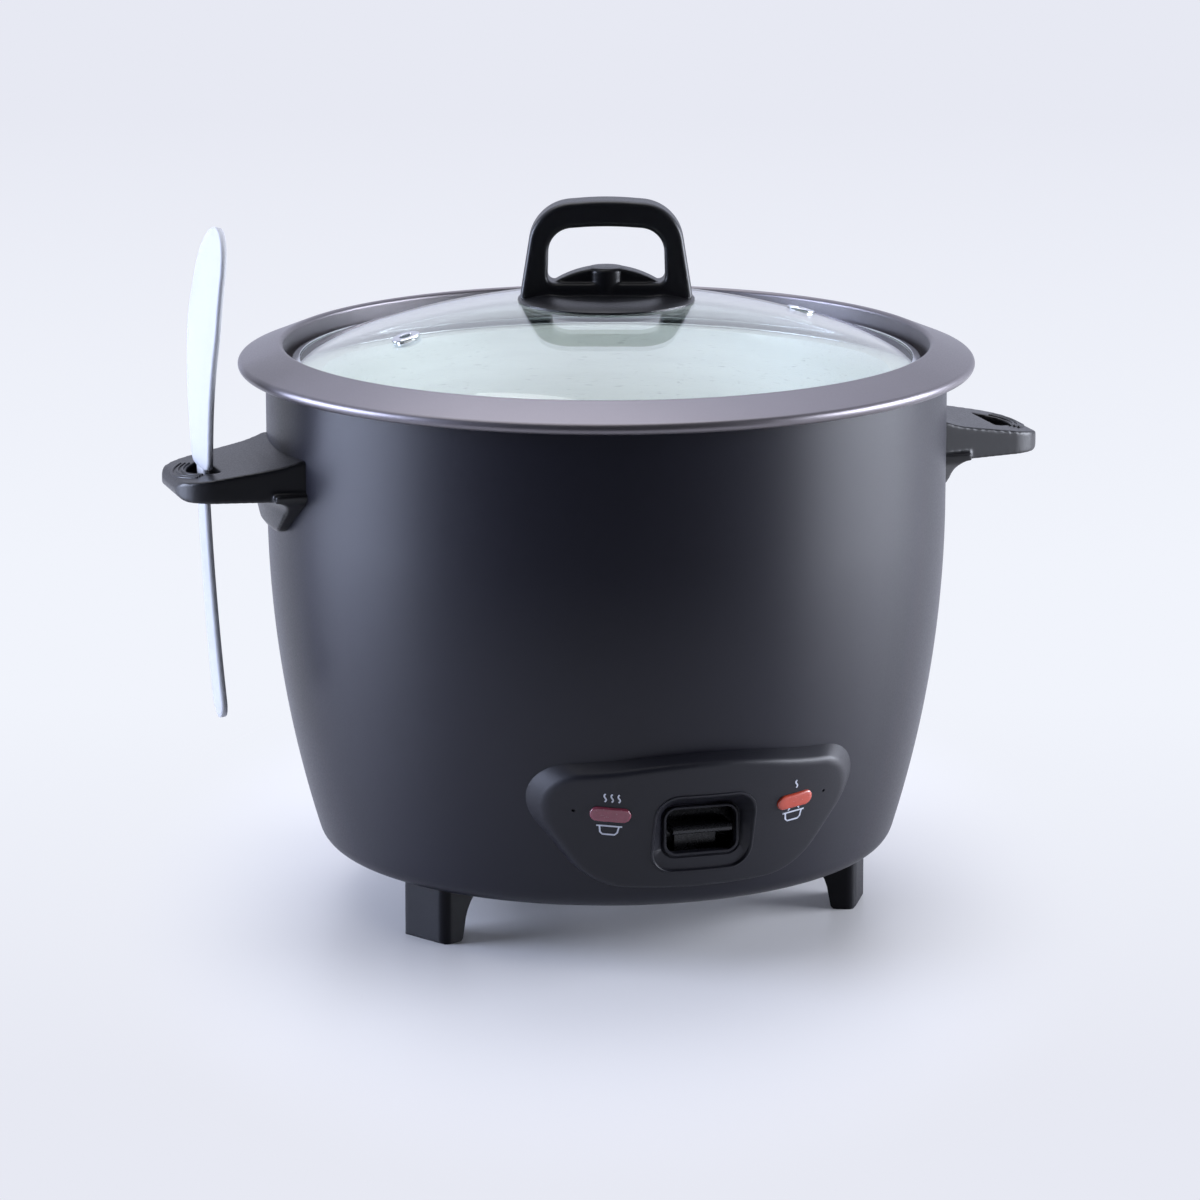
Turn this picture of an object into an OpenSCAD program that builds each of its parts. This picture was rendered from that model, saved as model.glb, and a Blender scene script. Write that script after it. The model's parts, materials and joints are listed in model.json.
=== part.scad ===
// Drum rice cooker: painted steel body, lift-out pot, glass lid and a stored rice paddle.
// Millimetres. +Z is up and -Y is the front. The origin is on the body's axis, on the table.

/* [Body] */
// Radius of the shell where its wall is straight
shell_r = 131.2; // [130.8:0.1:131.6]
// Height of the gap between the table and the shell
foot_h = 22.4; // [22:0.1:22.8]
// Height where the shell starts to narrow
taper_z = 157; // [156:0.5:158]
// Radius of the arc that narrows the shell
taper_arc_r = 440; // [430:1:450]
// Thickness of the shell's sheet steel
sheet_t = 0.8; // [0.7:0.1:1]

/* [Top ring] */
// Largest radius of the ring's rolled lip
lip_r = 141.8; // [141.4:0.1:142.2]
// Height of the ring's crest
crest_z = 219.2; // [219:0.1:219.6]
// Inner radius of the well that the lid sits in
well_r = 124.3; // [124.1:0.1:124.6]

/* [Pot] */
// Outer radius of the pot's wall
pot_r = 110; // [109:0.5:110.5]
// Thickness of the pot's wall
pot_t = 1.6; // [1.4:0.1:1.8]
// Outer radius of the pot's flange
flange_r = 122; // [121.6:0.1:122.2]

/* [Lid] */
// Radius of the glass at its rim
glass_r = 120.4; // [120.1:0.1:120.7]
// Height of the top of the glass dome
glass_top = 236.3; // [236.1:0.1:236.6]
// Thickness of the glass
glass_t = 4; // [3.5:0.5:4]
// Height of the top of the bridge handle
bridge_top = 273.9; // [273.5:0.1:274.3]
// Radius of the handle's base disc
disc_r = 34; // [33.8:0.1:34.3]

/* [Side handles] */
// Reach of each handle from the axis
reach = 173.4; // [173:0.2:174]
// Height of the handles' flat underside
grip_z = 169.1; // [168.8:0.1:169.4]
// Half width of a handle where it meets the shell
root_w = 31; // [30:0.5:32]

/* [Control panel] */
// Height of the middle of the panel's face
panel_z = 58; // [57.5:0.5:58.5]
// Distance of the face's middle from the axis
panel_y = 124.5; // [124:0.5:125]
// Angle that the face leans, in degrees
panel_tilt = 18; // [17:0.5:19]
// Radius that the face is curved to
face_r = 125; // [124:0.5:126]
// Distance of each lamp from the panel's middle
lamp_x = 36; // [35:0.5:37]

/* [Paddle] */
// Radius that the paddle's lower part is bent to
paddle_arc_r = 1400; // [1380:10:1420]
// Radius that its blade is bent to
blade_arc_r = 320; // [310:5:330]
// Thickness of the paddle
paddle_t = 2.6; // [2.4:0.1:2.8]

/* [Hidden] */

SMOOTH = 128;          // facets of the large round forms
FINE = 48;             // facets of the small round forms
SLACK = 0.05;          // gap between seated pieces of one body
GAP = 0.3;             // gap between pieces that move apart

// Colours
SHELL_PAINT = [0.16, 0.16, 0.20];
RING_PAINT = [0.36, 0.35, 0.36];
BLACK_PLASTIC = [0.09, 0.09, 0.10];
ALUMINIUM = [0.80, 0.81, 0.82];
STEEL = [0.68, 0.69, 0.70];
BRASS = [0.78, 0.65, 0.35];

// Body heights
corner_r = 10;
shell_top = 208.9;
sweep_cx = shell_r - taper_arc_r;
corner_cx = sweep_cx + sqrt(pow(taper_arc_r - corner_r, 2) - pow(taper_z - foot_h - corner_r, 2));
corner_a = -asin((taper_z - foot_h - corner_r) / (taper_arc_r - corner_r));
base_hole_r = 95.5;
ledge_z = 204.8;       // top of the ledge that carries the pot
ledge_in_r = 113.2;
hem_z = shell_top + 0.2;
ring_t = 1.1;

// Liner
liner_r = 114.2;
liner_t = 0.6;
liner_floor = 72;
liner_hole_r = 20;

// Hot plate and thermostat
plate_r = 86;
plate_top = 94.7;
plate_bottom = 80;
element_r = 60;
element_wire_r = 3.6;
tail_a = 10;           // half angle between the element's tails
spacer_ring_r = 74;
cap_r = 17.5;
barrel_r = 11.8;
barrel_bottom = 61;
magnet_z = 71.5;
magnet_h = 6;
ferrite_z = 86;

// Cook lever
pivot_y = 72;
pivot_z = 55;
pin_r = 2;
arm_z = 47;
arm_t = 1.5;
shutter_r = 37;

// Pot and lid heights
pot_bottom = plate_top + GAP;
flange_z = ledge_z + GAP;
flange_t = 1.5;
hoop_z = flange_z + flange_t + GAP;
hoop_t = 0.6;
rim_z = hoop_z + hoop_t + 0.4;
glass_rise = glass_top - rim_z - glass_t;
dome_r = (pow(glass_r, 2) + pow(glass_rise, 2)) / (2 * glass_rise);
dome_cz = glass_top - dome_r;
lid_turn = -17.3;      // the lid is set down with its handle turned this far
vent_ring_r = 82;
vent_turn = 22;        // angle from the handle's plane to the line through the vents
vent_hole_r = 4.2;
gasket_r = 6;
gasket_top = glass_top + 0.9;
disc_z = 235.2;        // middle of the base disc's rim
saddle_top = 247.8;

// Handles
tip_r = 16;
slot_in = 156;
slot_out = 166;
slot_chord = 13.6;
slot_arc_r = (pow(slot_chord, 2) + pow(slot_out - slot_in, 2)) / (2 * (slot_out - slot_in));
screw_half = 16;
handle_screw_z = 174;

// Bezel round the lever
bezel_z = 54.4;
bezel_w = 40;
bezel_h = 32;
bezel_back = 115.2;

// Inlet
inlet_z = 60;
inlet_face = 125;

// Feet
foot_turn = 61;        // angle of the two front feet from the front
foot_out_r = 101;
foot_screw_r = 86;

// Lamps
lamp_v = 4.1;          // height of the lamps above the panel's middle

// Paddle
paddle_x = 160.4;      // farthest that its middle line stands from the axis
paddle_cx = paddle_arc_r - paddle_x;
paddle_cz = 215;
bend_z = 195;          // height where the blade's tighter bend starts
blade_cx = paddle_cx + (blade_arc_r - paddle_arc_r) * sqrt(1 - pow((bend_z - paddle_cz) / paddle_arc_r, 2));
blade_cz = bend_z - (bend_z - paddle_cz) * blade_arc_r / paddle_arc_r;

// ---------- helpers ----------

// Points along an arc about [cx, cy], from angle a0 to angle a1
function arc(cx, cy, r, a0, a1, n = 8) =
    [for (i = [0:n]) let (a = a0 + (a1 - a0) * i / n) [cx + r * cos(a), cy + r * sin(a)]];

// Radius of the shell's outer surface at height z
function shell_at(z) =
    z >= taper_z ? shell_r : sweep_cx + sqrt(pow(taper_arc_r, 2) - pow(taper_z - z, 2));

// Half section of the drum, pulled inwards by inset
function drum_points(inset, top) = concat(
    [[0, foot_h + inset]],
    arc(corner_cx, foot_h + corner_r, corner_r - inset, -90, corner_a, 7),
    arc(sweep_cx, taper_z, taper_arc_r - inset, corner_a, 0, 14),
    [[shell_r - inset, top], [0, top]]);

module drum(inset = 0, top = shell_top) {
    rotate_extrude($fn = SMOOTH) polygon(drum_points(inset, top));
}

// Flat ring or tube
module tube(r_out, r_in, h) {
    difference() {
        cylinder(r = r_out, h = h, $fn = FINE);
        translate([0, 0, -1]) cylinder(r = r_in, h = h + 2, $fn = FINE);
    }
}

// Rounded rectangle centred on the origin
module round_rect(w, h, r) {
    hull() for (x = [-1, 1], y = [-1, 1])
        translate([x * (w / 2 - r), y * (h / 2 - r)]) circle(r = r, $fn = 32);
}

module stadium(w, h) {
    square([w - h, h], center = true);
    for (x = [-1, 1]) translate([x * (w - h) / 2, 0]) circle(d = h, $fn = FINE);
}

// Pan head screw along +Z, its head's top at z = 0
module screw(shank_r, length, head_r, head_h) {
    difference() {
        union() {
            translate([0, 0, -head_h]) cylinder(r = head_r, h = head_h, $fn = FINE);
            translate([0, 0, -head_h - length]) cylinder(r = shank_r, h = length, $fn = FINE);
        }
        for (a = [0, 90]) rotate([0, 0, a])
            translate([-head_r * 0.6, -0.4, -head_h * 0.5]) cube([head_r * 1.2, 0.8, head_h]);
    }
}

// Round wire swept along a list of points, its ends closed
module sweep(path, r, sides = 6) {
    last = len(path) - 1;
    function along(i) = let (v = path[min(i + 1, last)] - path[max(i - 1, 0)]) v / norm(v);
    function across(t) = let (v = cross(t, [0, 0, 1])) v / norm(v);
    points = [for (i = [0:last]) let (t = along(i), n = across(t), b = cross(n, t))
        for (k = [0:sides - 1]) let (a = 360 * k / sides) path[i] + r * (cos(a) * n + sin(a) * b)];
    walls = [for (i = [0:last - 1], k = [0:sides - 1]) let (
        k2 = (k + 1) % sides, p = i * sides, q = p + sides) [p + k, p + k2, q + k2, q + k]];
    first_cap = [for (k = [sides - 1:-1:0]) k];
    last_cap = [for (k = [0:sides - 1]) last * sides + k];
    polyhedron(points, concat(walls, [first_cap, last_cap]));
}

// Points of a helix about Z whose wire lies between heights z0 and z1
function helix(r, wire_r, z0, z1, turns, per_turn = 14) =
    [for (i = [0:turns * per_turn]) let (f = i / (turns * per_turn), a = 360 * turns * f)
        [r * cos(a), r * sin(a), z0 + wire_r + (z1 - z0 - 2 * wire_r) * f]];

// Points of a smooth curve through a wire's corner points
function bezier3(a, b, c, n) =
    [for (i = [0:n]) let (t = i / n) (1 - t) * (1 - t) * a + 2 * t * (1 - t) * b + t * t * c];
function middle(a, b) = (a + b) / 2;
function wire_path(c) = concat([c[0]],
    [for (i = [1:len(c) - 2]) each bezier3(
        i == 1 ? middle(c[0], c[1]) : middle(c[i - 1], c[i]), c[i], middle(c[i], c[i + 1]), 5)],
    [c[len(c) - 1]]);

// ---------- body ----------

module outer_shell() color(SHELL_PAINT) {
    difference() {
        rotate_extrude($fn = SMOOTH) difference() {
            polygon(drum_points(0, shell_top));
            polygon(drum_points(sheet_t, shell_top + 1));
            translate([0, foot_h - 1]) square([base_hole_r, 3]);
        }
        // windows for the lever and the lamps, behind the panel
        translate([-22, -135, bezel_z - 17.4]) cube([44, 60, 35]);
        translate([-45, -135, 57]) cube([90, 60, 12]);
        // opening for the inlet
        translate([-15, 100, inlet_z - 11]) cube([30, 40, 22]);
        for (x = [-1, 1], y = [-1, 1])
            translate([x * 120, y * screw_half, handle_screw_z]) rotate([0, x * 90, 0])
                cylinder(r = 2.3, h = 20, $fn = FINE);
        panel_screw_places() cylinder(r = 1.8, h = 12, center = true, $fn = FINE);
        for (x = [-1, 1]) translate([x * 21, 100, inlet_z]) rotate([-90, 0, 0])
            cylinder(r = 1.7, h = 30, $fn = FINE);
    }
}

// One sheet: ledge, well wall, crest, slope, rolled bead and the skirt inside the shell
module ring_section() {
    crest_r = 1.6;
    bead_r = 2.3;
    crest = [well_r + crest_r, crest_z - crest_r];
    bead = [lip_r - bead_r, hem_z + bead_r];
    slope = bead - crest;
    slope_a = 90 - atan2(-slope[1], slope[0]) + asin((bead_r - crest_r) / norm(slope));
    skirt_r = shell_r - sheet_t - SLACK;
    face = concat(
        [[ledge_in_r, ledge_z - ring_t], [ledge_in_r, ledge_z], [well_r, ledge_z]],
        arc(crest[0], crest[1], crest_r, 180, slope_a, 6),
        arc(bead[0], bead[1], bead_r, slope_a, -90, 10));
    back = concat(
        [[skirt_r, hem_z], [skirt_r, 198], [skirt_r - ring_t, 198], [skirt_r - ring_t, hem_z + ring_t]],
        arc(bead[0], bead[1], bead_r - ring_t, -90, slope_a, 8),
        arc(crest[0], crest[1], crest_r - ring_t, slope_a, 180, 5),
        [[well_r + ring_t, ledge_z - ring_t]]);
    polygon(concat(face, back));
}

module top_ring() color(RING_PAINT) {
    rotate_extrude($fn = SMOOTH) ring_section();
}

module inner_liner() color(STEEL) {
    flange_top = ledge_z - ring_t - SLACK;
    bend = 8;
    outside = concat([[0, liner_floor]],
        arc(liner_r - bend, liner_floor + bend, bend, -90, 0, 6), [[liner_r, flange_top + 1]],
        [[0, flange_top + 1]]);
    inside = concat([[0, liner_floor + liner_t]],
        arc(liner_r - bend, liner_floor + bend, bend - liner_t, -90, 0, 6),
        [[liner_r - liner_t, flange_top + 2], [0, flange_top + 2]]);
    difference() {
        rotate_extrude($fn = SMOOTH) {
            difference() {
                polygon(outside);
                polygon(inside);
                translate([0, liner_floor - 1]) square([liner_hole_r, 3]);
                translate([0, flange_top]) square([liner_r + 1, 3]);
            }
            translate([liner_r - liner_t, flange_top - liner_t]) square([128.4 - liner_r, liner_t]);
        }
        for (a = [0, 120, 240]) rotate([0, 0, a + 30]) translate([spacer_ring_r, 0, liner_floor - 1])
            cylinder(r = 2.2, h = 4, $fn = FINE);
        // passages for the element's two tails
        for (a = [-tail_a, tail_a]) rotate([0, 0, a]) translate([element_r, 0, liner_floor - 1])
            cylinder(r = 5.5, h = 4, $fn = FINE);
    }
}

module base_pan() color(STEEL) {
    step_in = base_hole_r - SLACK;
    difference() {
        union() {
            rotate_extrude($fn = SMOOTH) polygon([
                [0, foot_h], [step_in, foot_h], [step_in, foot_h + sheet_t + SLACK],
                [101, foot_h + sheet_t + SLACK], [101, foot_h + 2 * sheet_t + SLACK],
                [step_in - sheet_t, foot_h + 2 * sheet_t + SLACK],
                [step_in - sheet_t, foot_h + sheet_t], [0, foot_h + sheet_t]]);
            // raised screw bosses for the feet
            foot_places() translate([foot_screw_r, 0, foot_h + sheet_t / 2])
                tube(5.2, 1.7, 5.5);
        }
        foot_places() translate([foot_screw_r, 0, foot_h - 1]) cylinder(r = 2.1, h = 4, $fn = FINE);
        // rows of vent slots
        for (ring = [0:2], a = [0:30:330])
            rotate([0, 0, a + ring * 15]) translate([32 + 13 * ring, 0, foot_h - 1])
                linear_extrude(4) rotate(90) stadium(11 + 3 * ring, 3.2);
    }
}

// ---------- feet ----------

module foot_places() {
    for (a = [-90 - foot_turn, -90 + foot_turn, 90]) rotate([0, 0, a]) children();
}

module foot() color(BLACK_PLASTIC) {
    difference() {
        intersection() {
            rotate([90, 0, 0]) translate([0, 0, -13]) linear_extrude(26) polygon(concat(
                [[76, foot_h], [foot_out_r, foot_h], [foot_out_r, 1], [foot_out_r - 1, 0]],
                [[foot_out_r - 8.5, 0], [foot_out_r - 9.5, 1]],
                arc(72, 4, 18.6, 6, 62, 6)));
            translate([(76 + foot_out_r) / 2, 0, 0]) linear_extrude(foot_h)
                round_rect(foot_out_r - 76, 24, 4);
        }
        translate([foot_screw_r, 0, -1]) cylinder(r = 2.1, h = foot_h + 2, $fn = FINE);
        translate([foot_screw_r, 0, -1]) cylinder(r = 4.2, h = 17.5, $fn = FINE);
    }
}

module foot_left() rotate([0, 0, -90 - foot_turn]) foot();
module foot_right() rotate([0, 0, -90 + foot_turn]) foot();
module foot_rear() rotate([0, 0, 90]) foot();

module foot_screws() color(STEEL) {
    foot_places() translate([foot_screw_r, 0, 14]) mirror([0, 0, 1]) screw(1.65, 11, 3.6, 2.4);
}

// ---------- side handles ----------

module slot_shape() {
    intersection() {
        translate([slot_out - slot_arc_r, 0]) circle(r = slot_arc_r, $fn = 64);
        translate([slot_in, -20]) square([20, 40]);
    }
}

// Plan outline of the grip, root towards the axis
module grip_plan() {
    hull() {
        for (y = [-1, 1]) translate([reach - tip_r, y * 9]) circle(r = tip_r, $fn = 64);
        translate([118, -root_w]) square([8, 2 * root_w]);
    }
}

// Side section of the grip: flat below, falling slightly to a round nose
module grip_side() {
    nose = 3.8;
    polygon(concat(
        [[118, grip_z], [reach - nose, grip_z]],
        arc(reach - nose, grip_z + nose, nose, -90, 82, 8),
        [[138, grip_z + 13], [shell_r + 1.5, grip_z + 14], [118, grip_z + 14]]));
}

// Section of the bracket that hugs the shell, with a fillet into the grip
module bracket_side() {
    fillet = 6.5;
    polygon(concat(
        [[120, 153.5], [shell_r + 2.6, 153.5], [shell_r + 4, 155.5], [shell_r + 5, grip_z - fillet]],
        arc(shell_r + 5 + fillet, grip_z - fillet, fillet, 180, 90, 6),
        [[shell_r + 5 + fillet, grip_z + 3], [120, grip_z + 3]]));
}

module bracket_face() {
    hull() {
        for (y = [-1, 1]) {
            translate([y * 7, 165.5]) circle(r = 12, $fn = 32);
            translate([y * (root_w - 5), grip_z + 3]) circle(r = 6, $fn = 32);
        }
    }
}

module side_handle() color(BLACK_PLASTIC) {
    difference() {
        union() {
            intersection() {
                translate([0, 0, grip_z - 5]) linear_extrude(30) grip_plan();
                rotate([90, 0, 0]) translate([0, 0, -40]) linear_extrude(80) grip_side();
            }
            intersection() {
                rotate_extrude($fn = SMOOTH) bracket_side();
                rotate([90, 0, 90]) translate([0, 0, 110]) linear_extrude(40) bracket_face();
            }
            grip_ribs();
        }
        drum(-SLACK, 230);
        translate([0, 0, grip_z - 10]) linear_extrude(40) slot_shape();
        for (y = [-1, 1]) translate([120, y * screw_half, handle_screw_z]) rotate([0, 90, 0])
            cylinder(r = 1.75, h = 24, $fn = FINE);
    }
}

// Three raised ribs round the nose of the grip
module grip_ribs() {
    centre_x = slot_out - slot_arc_r;
    intersection() {
        union() for (i = [0:2]) translate([centre_x, 0, grip_z + 3])
            tube(slot_arc_r + 2 + 1.9 * i, slot_arc_r + 1 + 1.9 * i, 6 - 0.45 * i);
        translate([centre_x, 0, grip_z]) linear_extrude(20)
            polygon([[0, 0], [40, -24], [40, 24]]);
    }
}

module handle_right() side_handle();
module handle_left() mirror([1, 0, 0]) side_handle();

module handle_screws() color(STEEL) {
    for (x = [-1, 1], y = [-1, 1])
        translate([x * 126, y * screw_half, handle_screw_z]) rotate([0, x * -90, 0])
            screw(1.65, 13, 4, 2.6);
}

// ---------- control panel ----------

// Frame on the panel's face: x across, y up the face, z outwards
module on_panel() {
    translate([0, -panel_y, panel_z]) rotate([90 + panel_tilt, 0, 0]) children();
}

// Frame on the curved face at x, y
module on_face(x, y) {
    on_panel() translate([0, y, -face_r]) rotate([0, asin(x / face_r), 0])
        translate([0, 0, face_r]) children();
}

// Two screws at the shoulders and two below, each frame's origin on the shell's outer surface
module panel_screw_places() {
    for (x = [-1, 1]) {
        on_face(x * 50, 11) translate([0, 0, -5.21]) children();
        on_face(x * 43, -11) translate([0, 0, -3.62]) children();
    }
}

// Outline of the moulding: wide rounded shoulders, an arched top and a narrower round base
module panel_outline(shoulder_x, shoulder_r, base_x, base_r, crown_v, wall) {
    crown_r = 244;
    hull() {
        for (x = [-1, 1]) {
            translate([x * shoulder_x, 6.4]) circle(r = shoulder_r - wall, $fn = 40);
            translate([x * base_x, -3]) circle(r = base_r - wall, $fn = 40);
        }
        polygon(arc(0, crown_v - wall - crown_r, crown_r, 81, 99, 8));
    }
}

// Moulding as a solid block that flares towards the shell, pulled in by wall
module panel_block(wall = 0) {
    on_panel() hull() {
        intersection() {
            translate([0, 0, -16]) linear_extrude(20) panel_outline(43.2, 15.6, 27, 25, 26.6, wall);
            translate([0, 0, -face_r]) rotate([90, 0, 0])
                cylinder(r = face_r - wall, h = 80, center = true, $fn = 180);
        }
        translate([0, 0, -36]) linear_extrude(2) panel_outline(51.5, 21, 35, 30, 27.6, wall);
    }
}

module control_panel() color(BLACK_PLASTIC) {
    difference() {
        union() {
            difference() {
                panel_block();
                panel_block(2.4);
            }
            // screw bosses from the shell to the back of the face
            for (x = [-1, 1]) {
                on_face(x * 50, 11) translate([0, 0, -10]) cylinder(r = 3.2, h = 8.8, $fn = FINE);
                on_face(x * 43, -11) translate([0, 0, -9]) cylinder(r = 3.2, h = 7.8, $fn = FINE);
            }
        }
        drum(-SLACK, 230);
        for (x = [-1, 1]) on_face(x * lamp_x, lamp_v) translate([0, 0, -5]) linear_extrude(8)
            stadium(15.6, 6.2);
        bezel_frame() linear_extrude(40) round_rect(bezel_w + 0.1, bezel_h + 0.1, 9);
        panel_screw_places() translate([0, 0, -2]) cylinder(r = 1.3, h = 4.6, $fn = FINE);
    }
}

module panel_screws() color(STEEL) {
    panel_screw_places() translate([0, 0, -sheet_t - 2.7]) mirror([0, 0, 1])
        screw(1.25, 3.9, 2.8, 2);
}

// Frame of the bezel: level, with z towards the front from behind the shell
module bezel_frame() {
    translate([0, -bezel_back, bezel_z]) rotate([90, 0, 0]) children();
}

// Funnel round the lever, cut off along the panel's face, with a raised lip at its throat
module switch_bezel() color(BLACK_PLASTIC) {
    throat = 2.4;      // depth of the throat plate from the bezel's back
    difference() {
        union() {
            difference() {
                intersection() {
                    bezel_frame() linear_extrude(24) round_rect(bezel_w, bezel_h, 9);
                    on_panel() translate([0, 0, -face_r]) rotate([90, 0, 0])
                        cylinder(r = face_r + 0.4, h = 120, center = true, $fn = 180);
                }
                hull() {
                    on_panel() translate([0, -3.9, 0.6]) linear_extrude(0.1)
                        round_rect(bezel_w - 1.7, (bezel_h - 2.2) / cos(panel_tilt), 8.2);
                    bezel_frame() translate([0, 0, throat]) linear_extrude(0.1)
                        round_rect(31, 20.4, 5.5);
                }
            }
            bezel_frame() linear_extrude(throat + 1.2) round_rect(29.6, 19, 4.8);
        }
        bezel_frame() translate([0, 0, -1]) linear_extrude(10) round_rect(27, 16.4, 3.6);
    }
}

module lamp_lens(x) {
    on_face(x, lamp_v) {
        translate([0, 0, -3.6]) linear_extrude(4.1) stadium(15.5, 6.1);
        translate([0, 0, 0.4]) linear_extrude(0.5) stadium(14.5, 5.1);
        translate([0, 0, -4.05]) linear_extrude(1.1) stadium(17.9, 8.5);
    }
}

module cook_lamp_lens() color([0.55, 0.20, 0.26]) lamp_lens(-lamp_x);
module warm_lamp_lens() color([0.95, 0.38, 0.22]) lamp_lens(lamp_x);

module neon_lamps() color([0.95, 0.75, 0.6]) {
    for (x = [-1, 1]) on_face(x * lamp_x, lamp_v) translate([-5.5, 0, -6.8]) rotate([0, 90, 0]) {
        cylinder(r = 2.5, h = 11, $fn = FINE);
        translate([0, 0, 11]) cylinder(r1 = 2.5, r2 = 0.8, h = 2, $fn = FINE);
    }
}

// ---------- heating ----------

module spoke_places() {
    for (a = [30, 150, 270]) rotate([0, 0, a]) children();
}

module hot_plate() color([0.62, 0.63, 0.65]) {
    edge = 4;
    difference() {
        union() {
            rotate_extrude($fn = SMOOTH) difference() {
                polygon(concat([[cap_r + 1.5, plate_bottom + 3], [40, plate_bottom + 6.5]],
                    [[element_r - 10, plate_bottom + 6.5], [element_r - 8, plate_bottom]],
                    [[element_r + 8, plate_bottom], [element_r + 10, plate_bottom + 6.5]],
                    [[plate_r, plate_bottom + 7.5]],
                    arc(plate_r - edge, plate_top - edge, edge, 0, 90, 5),
                    [[cap_r + 1.5, plate_top]]));
                // shallow rings turned into the face
                for (r = [34, 52, 70]) translate([r, plate_top - 0.4]) square([0.8, 1]);
            }
            // bosses for the spacers
            spoke_places() translate([spacer_ring_r, 0, plate_bottom + 0.4])
                cylinder(r = 5, h = 8, $fn = FINE);
        }
        rotate_extrude($fn = SMOOTH) translate([element_r, plate_bottom])
            circle(r = element_wire_r + SLACK, $fn = FINE);
        spoke_places() translate([spacer_ring_r, 0, plate_bottom - 1])
            cylinder(r = 1.7, h = 9, $fn = FINE);
    }
}

module heating_element() color([0.45, 0.46, 0.48]) {
    rotate([0, 0, tail_a]) rotate_extrude(angle = 360 - 2 * tail_a, $fn = SMOOTH)
        translate([element_r, plate_bottom]) circle(r = element_wire_r, $fn = FINE);
    for (a = [-tail_a, tail_a]) rotate([0, 0, a]) translate([element_r, 0, 0]) {
        translate([0, 0, 60]) cylinder(r = 2, h = plate_bottom - 60, $fn = FINE);
        translate([0, 0, plate_bottom - 11]) cylinder(r = element_wire_r, h = 11, $fn = FINE);
    }
}

module plate_spacers() color(STEEL) {
    spoke_places() translate([spacer_ring_r, 0, liner_floor + liner_t])
        tube(5, 2.2, plate_bottom + 0.4 - liner_floor - liner_t);
}

module plate_screws() color(STEEL) {
    spoke_places() translate([spacer_ring_r, 0, liner_floor - 2.4]) mirror([0, 0, 1])
        screw(1.65, 14, 3.8, 2.4);
}

// Cup under the liner that guides the sensor
module thermostat_cage() color(STEEL) {
    cage_r = 18.8;
    difference() {
        union() {
            translate([0, 0, 64]) cylinder(r = cage_r, h = liner_floor - 64, $fn = FINE);
            translate([0, 0, liner_floor - 1.2]) cylinder(r = 27, h = 1.2 - SLACK, $fn = FINE);
        }
        translate([0, 0, 65]) cylinder(r = cage_r - 0.8, h = 20, $fn = FINE);
        translate([0, 0, 60]) cylinder(r = barrel_r + GAP, h = 20, $fn = FINE);
    }
}

module sensor_cap() color(ALUMINIUM) {
    difference() {
        translate([0, 0, 85]) cylinder(r = cap_r, h = plate_top - 85, $fn = FINE);
        translate([0, 0, 84]) cylinder(r = cap_r - 1.2, h = plate_top - 1.5 - 84, $fn = FINE);
    }
}

module sensor_barrel() color(STEEL) {
    difference() {
        union() {
            translate([0, 0, barrel_bottom])
                cylinder(r = barrel_r, h = plate_top - 1.5 - SLACK - barrel_bottom, $fn = FINE);
            translate([0, 0, barrel_bottom]) cylinder(r = 13.6, h = 1, $fn = FINE);
        }
        translate([0, 0, barrel_bottom + 1]) cylinder(r = barrel_r - 0.9, h = 60, $fn = FINE);
        translate([0, 0, barrel_bottom - 1]) cylinder(r = 5.6, h = 4, $fn = FINE);
    }
}

module ferrite_ring() color([0.25, 0.25, 0.27]) {
    translate([0, 0, ferrite_z]) tube(barrel_r - 0.9 - SLACK, 6.6, plate_top - 1.6 - ferrite_z);
}

module sensor_spring() color(STEEL) {
    sweep(helix(14.6, 0.6, 65.1, plate_top - 1.6, 7), 0.6);
}

module plunger_rod() color(STEEL) {
    translate([0, 0, 42]) cylinder(r = 2, h = magnet_z + magnet_h - 42, $fn = FINE);
    translate([0, 0, arm_z + arm_t + 0.4]) cylinder(r = 4.4, h = 2, $fn = FINE);
}

module plunger_magnet() color([0.30, 0.30, 0.32]) {
    translate([0, 0, magnet_z]) tube(10.2, 2 + SLACK, magnet_h);
}

module plunger_spring() color(STEEL) {
    sweep(helix(5.4, 0.45, magnet_z + magnet_h + 0.1, plate_top - 1.6, 6), 0.45);
}

module warming_band() color([0.72, 0.60, 0.42]) {
    translate([0, 0, 112]) rotate([0, 0, 100]) rotate_extrude(angle = 340, $fn = SMOOTH)
        translate([liner_r + SLACK, 0]) square([1.2, 26]);
}

module thermal_fuse() color([0.86, 0.86, 0.84]) {
    translate([34, 22, liner_floor - 3.1]) rotate([0, 90, 50]) {
        cylinder(r = 3, h = 24, $fn = FINE);
        translate([0, 0, -6]) cylinder(r = 0.8, h = 36, $fn = FINE);
    }
}

// ---------- switch ----------

module pivot_frame() {
    translate([0, -pivot_y, pivot_z]) children();
}

module switch_bracket() color(STEEL) {
    base_z = foot_h + sheet_t;
    ear_x = 8.2;
    difference() {
        union() {
            for (x = [-1, 1]) translate([x * (ear_x + 0.6) - 0.6, -pivot_y - 6, base_z])
                cube([1.2, 12, pivot_z + 6 - base_z]);
            translate([-ear_x - 6, -pivot_y - 6, base_z]) cube([2 * ear_x + 12, 12, 1.2]);
        }
        pivot_frame() rotate([0, 90, 0]) cylinder(r = pin_r + SLACK, h = 40, center = true, $fn = FINE);
    }
}

module pivot_pin() color(STEEL) {
    pivot_frame() rotate([0, 90, 0]) {
        cylinder(r = pin_r, h = 22, center = true, $fn = FINE);
        for (z = [-1, 1]) translate([0, 0, z * 11]) cylinder(r = 3.2, h = 1.6, center = true, $fn = FINE);
    }
}

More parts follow.
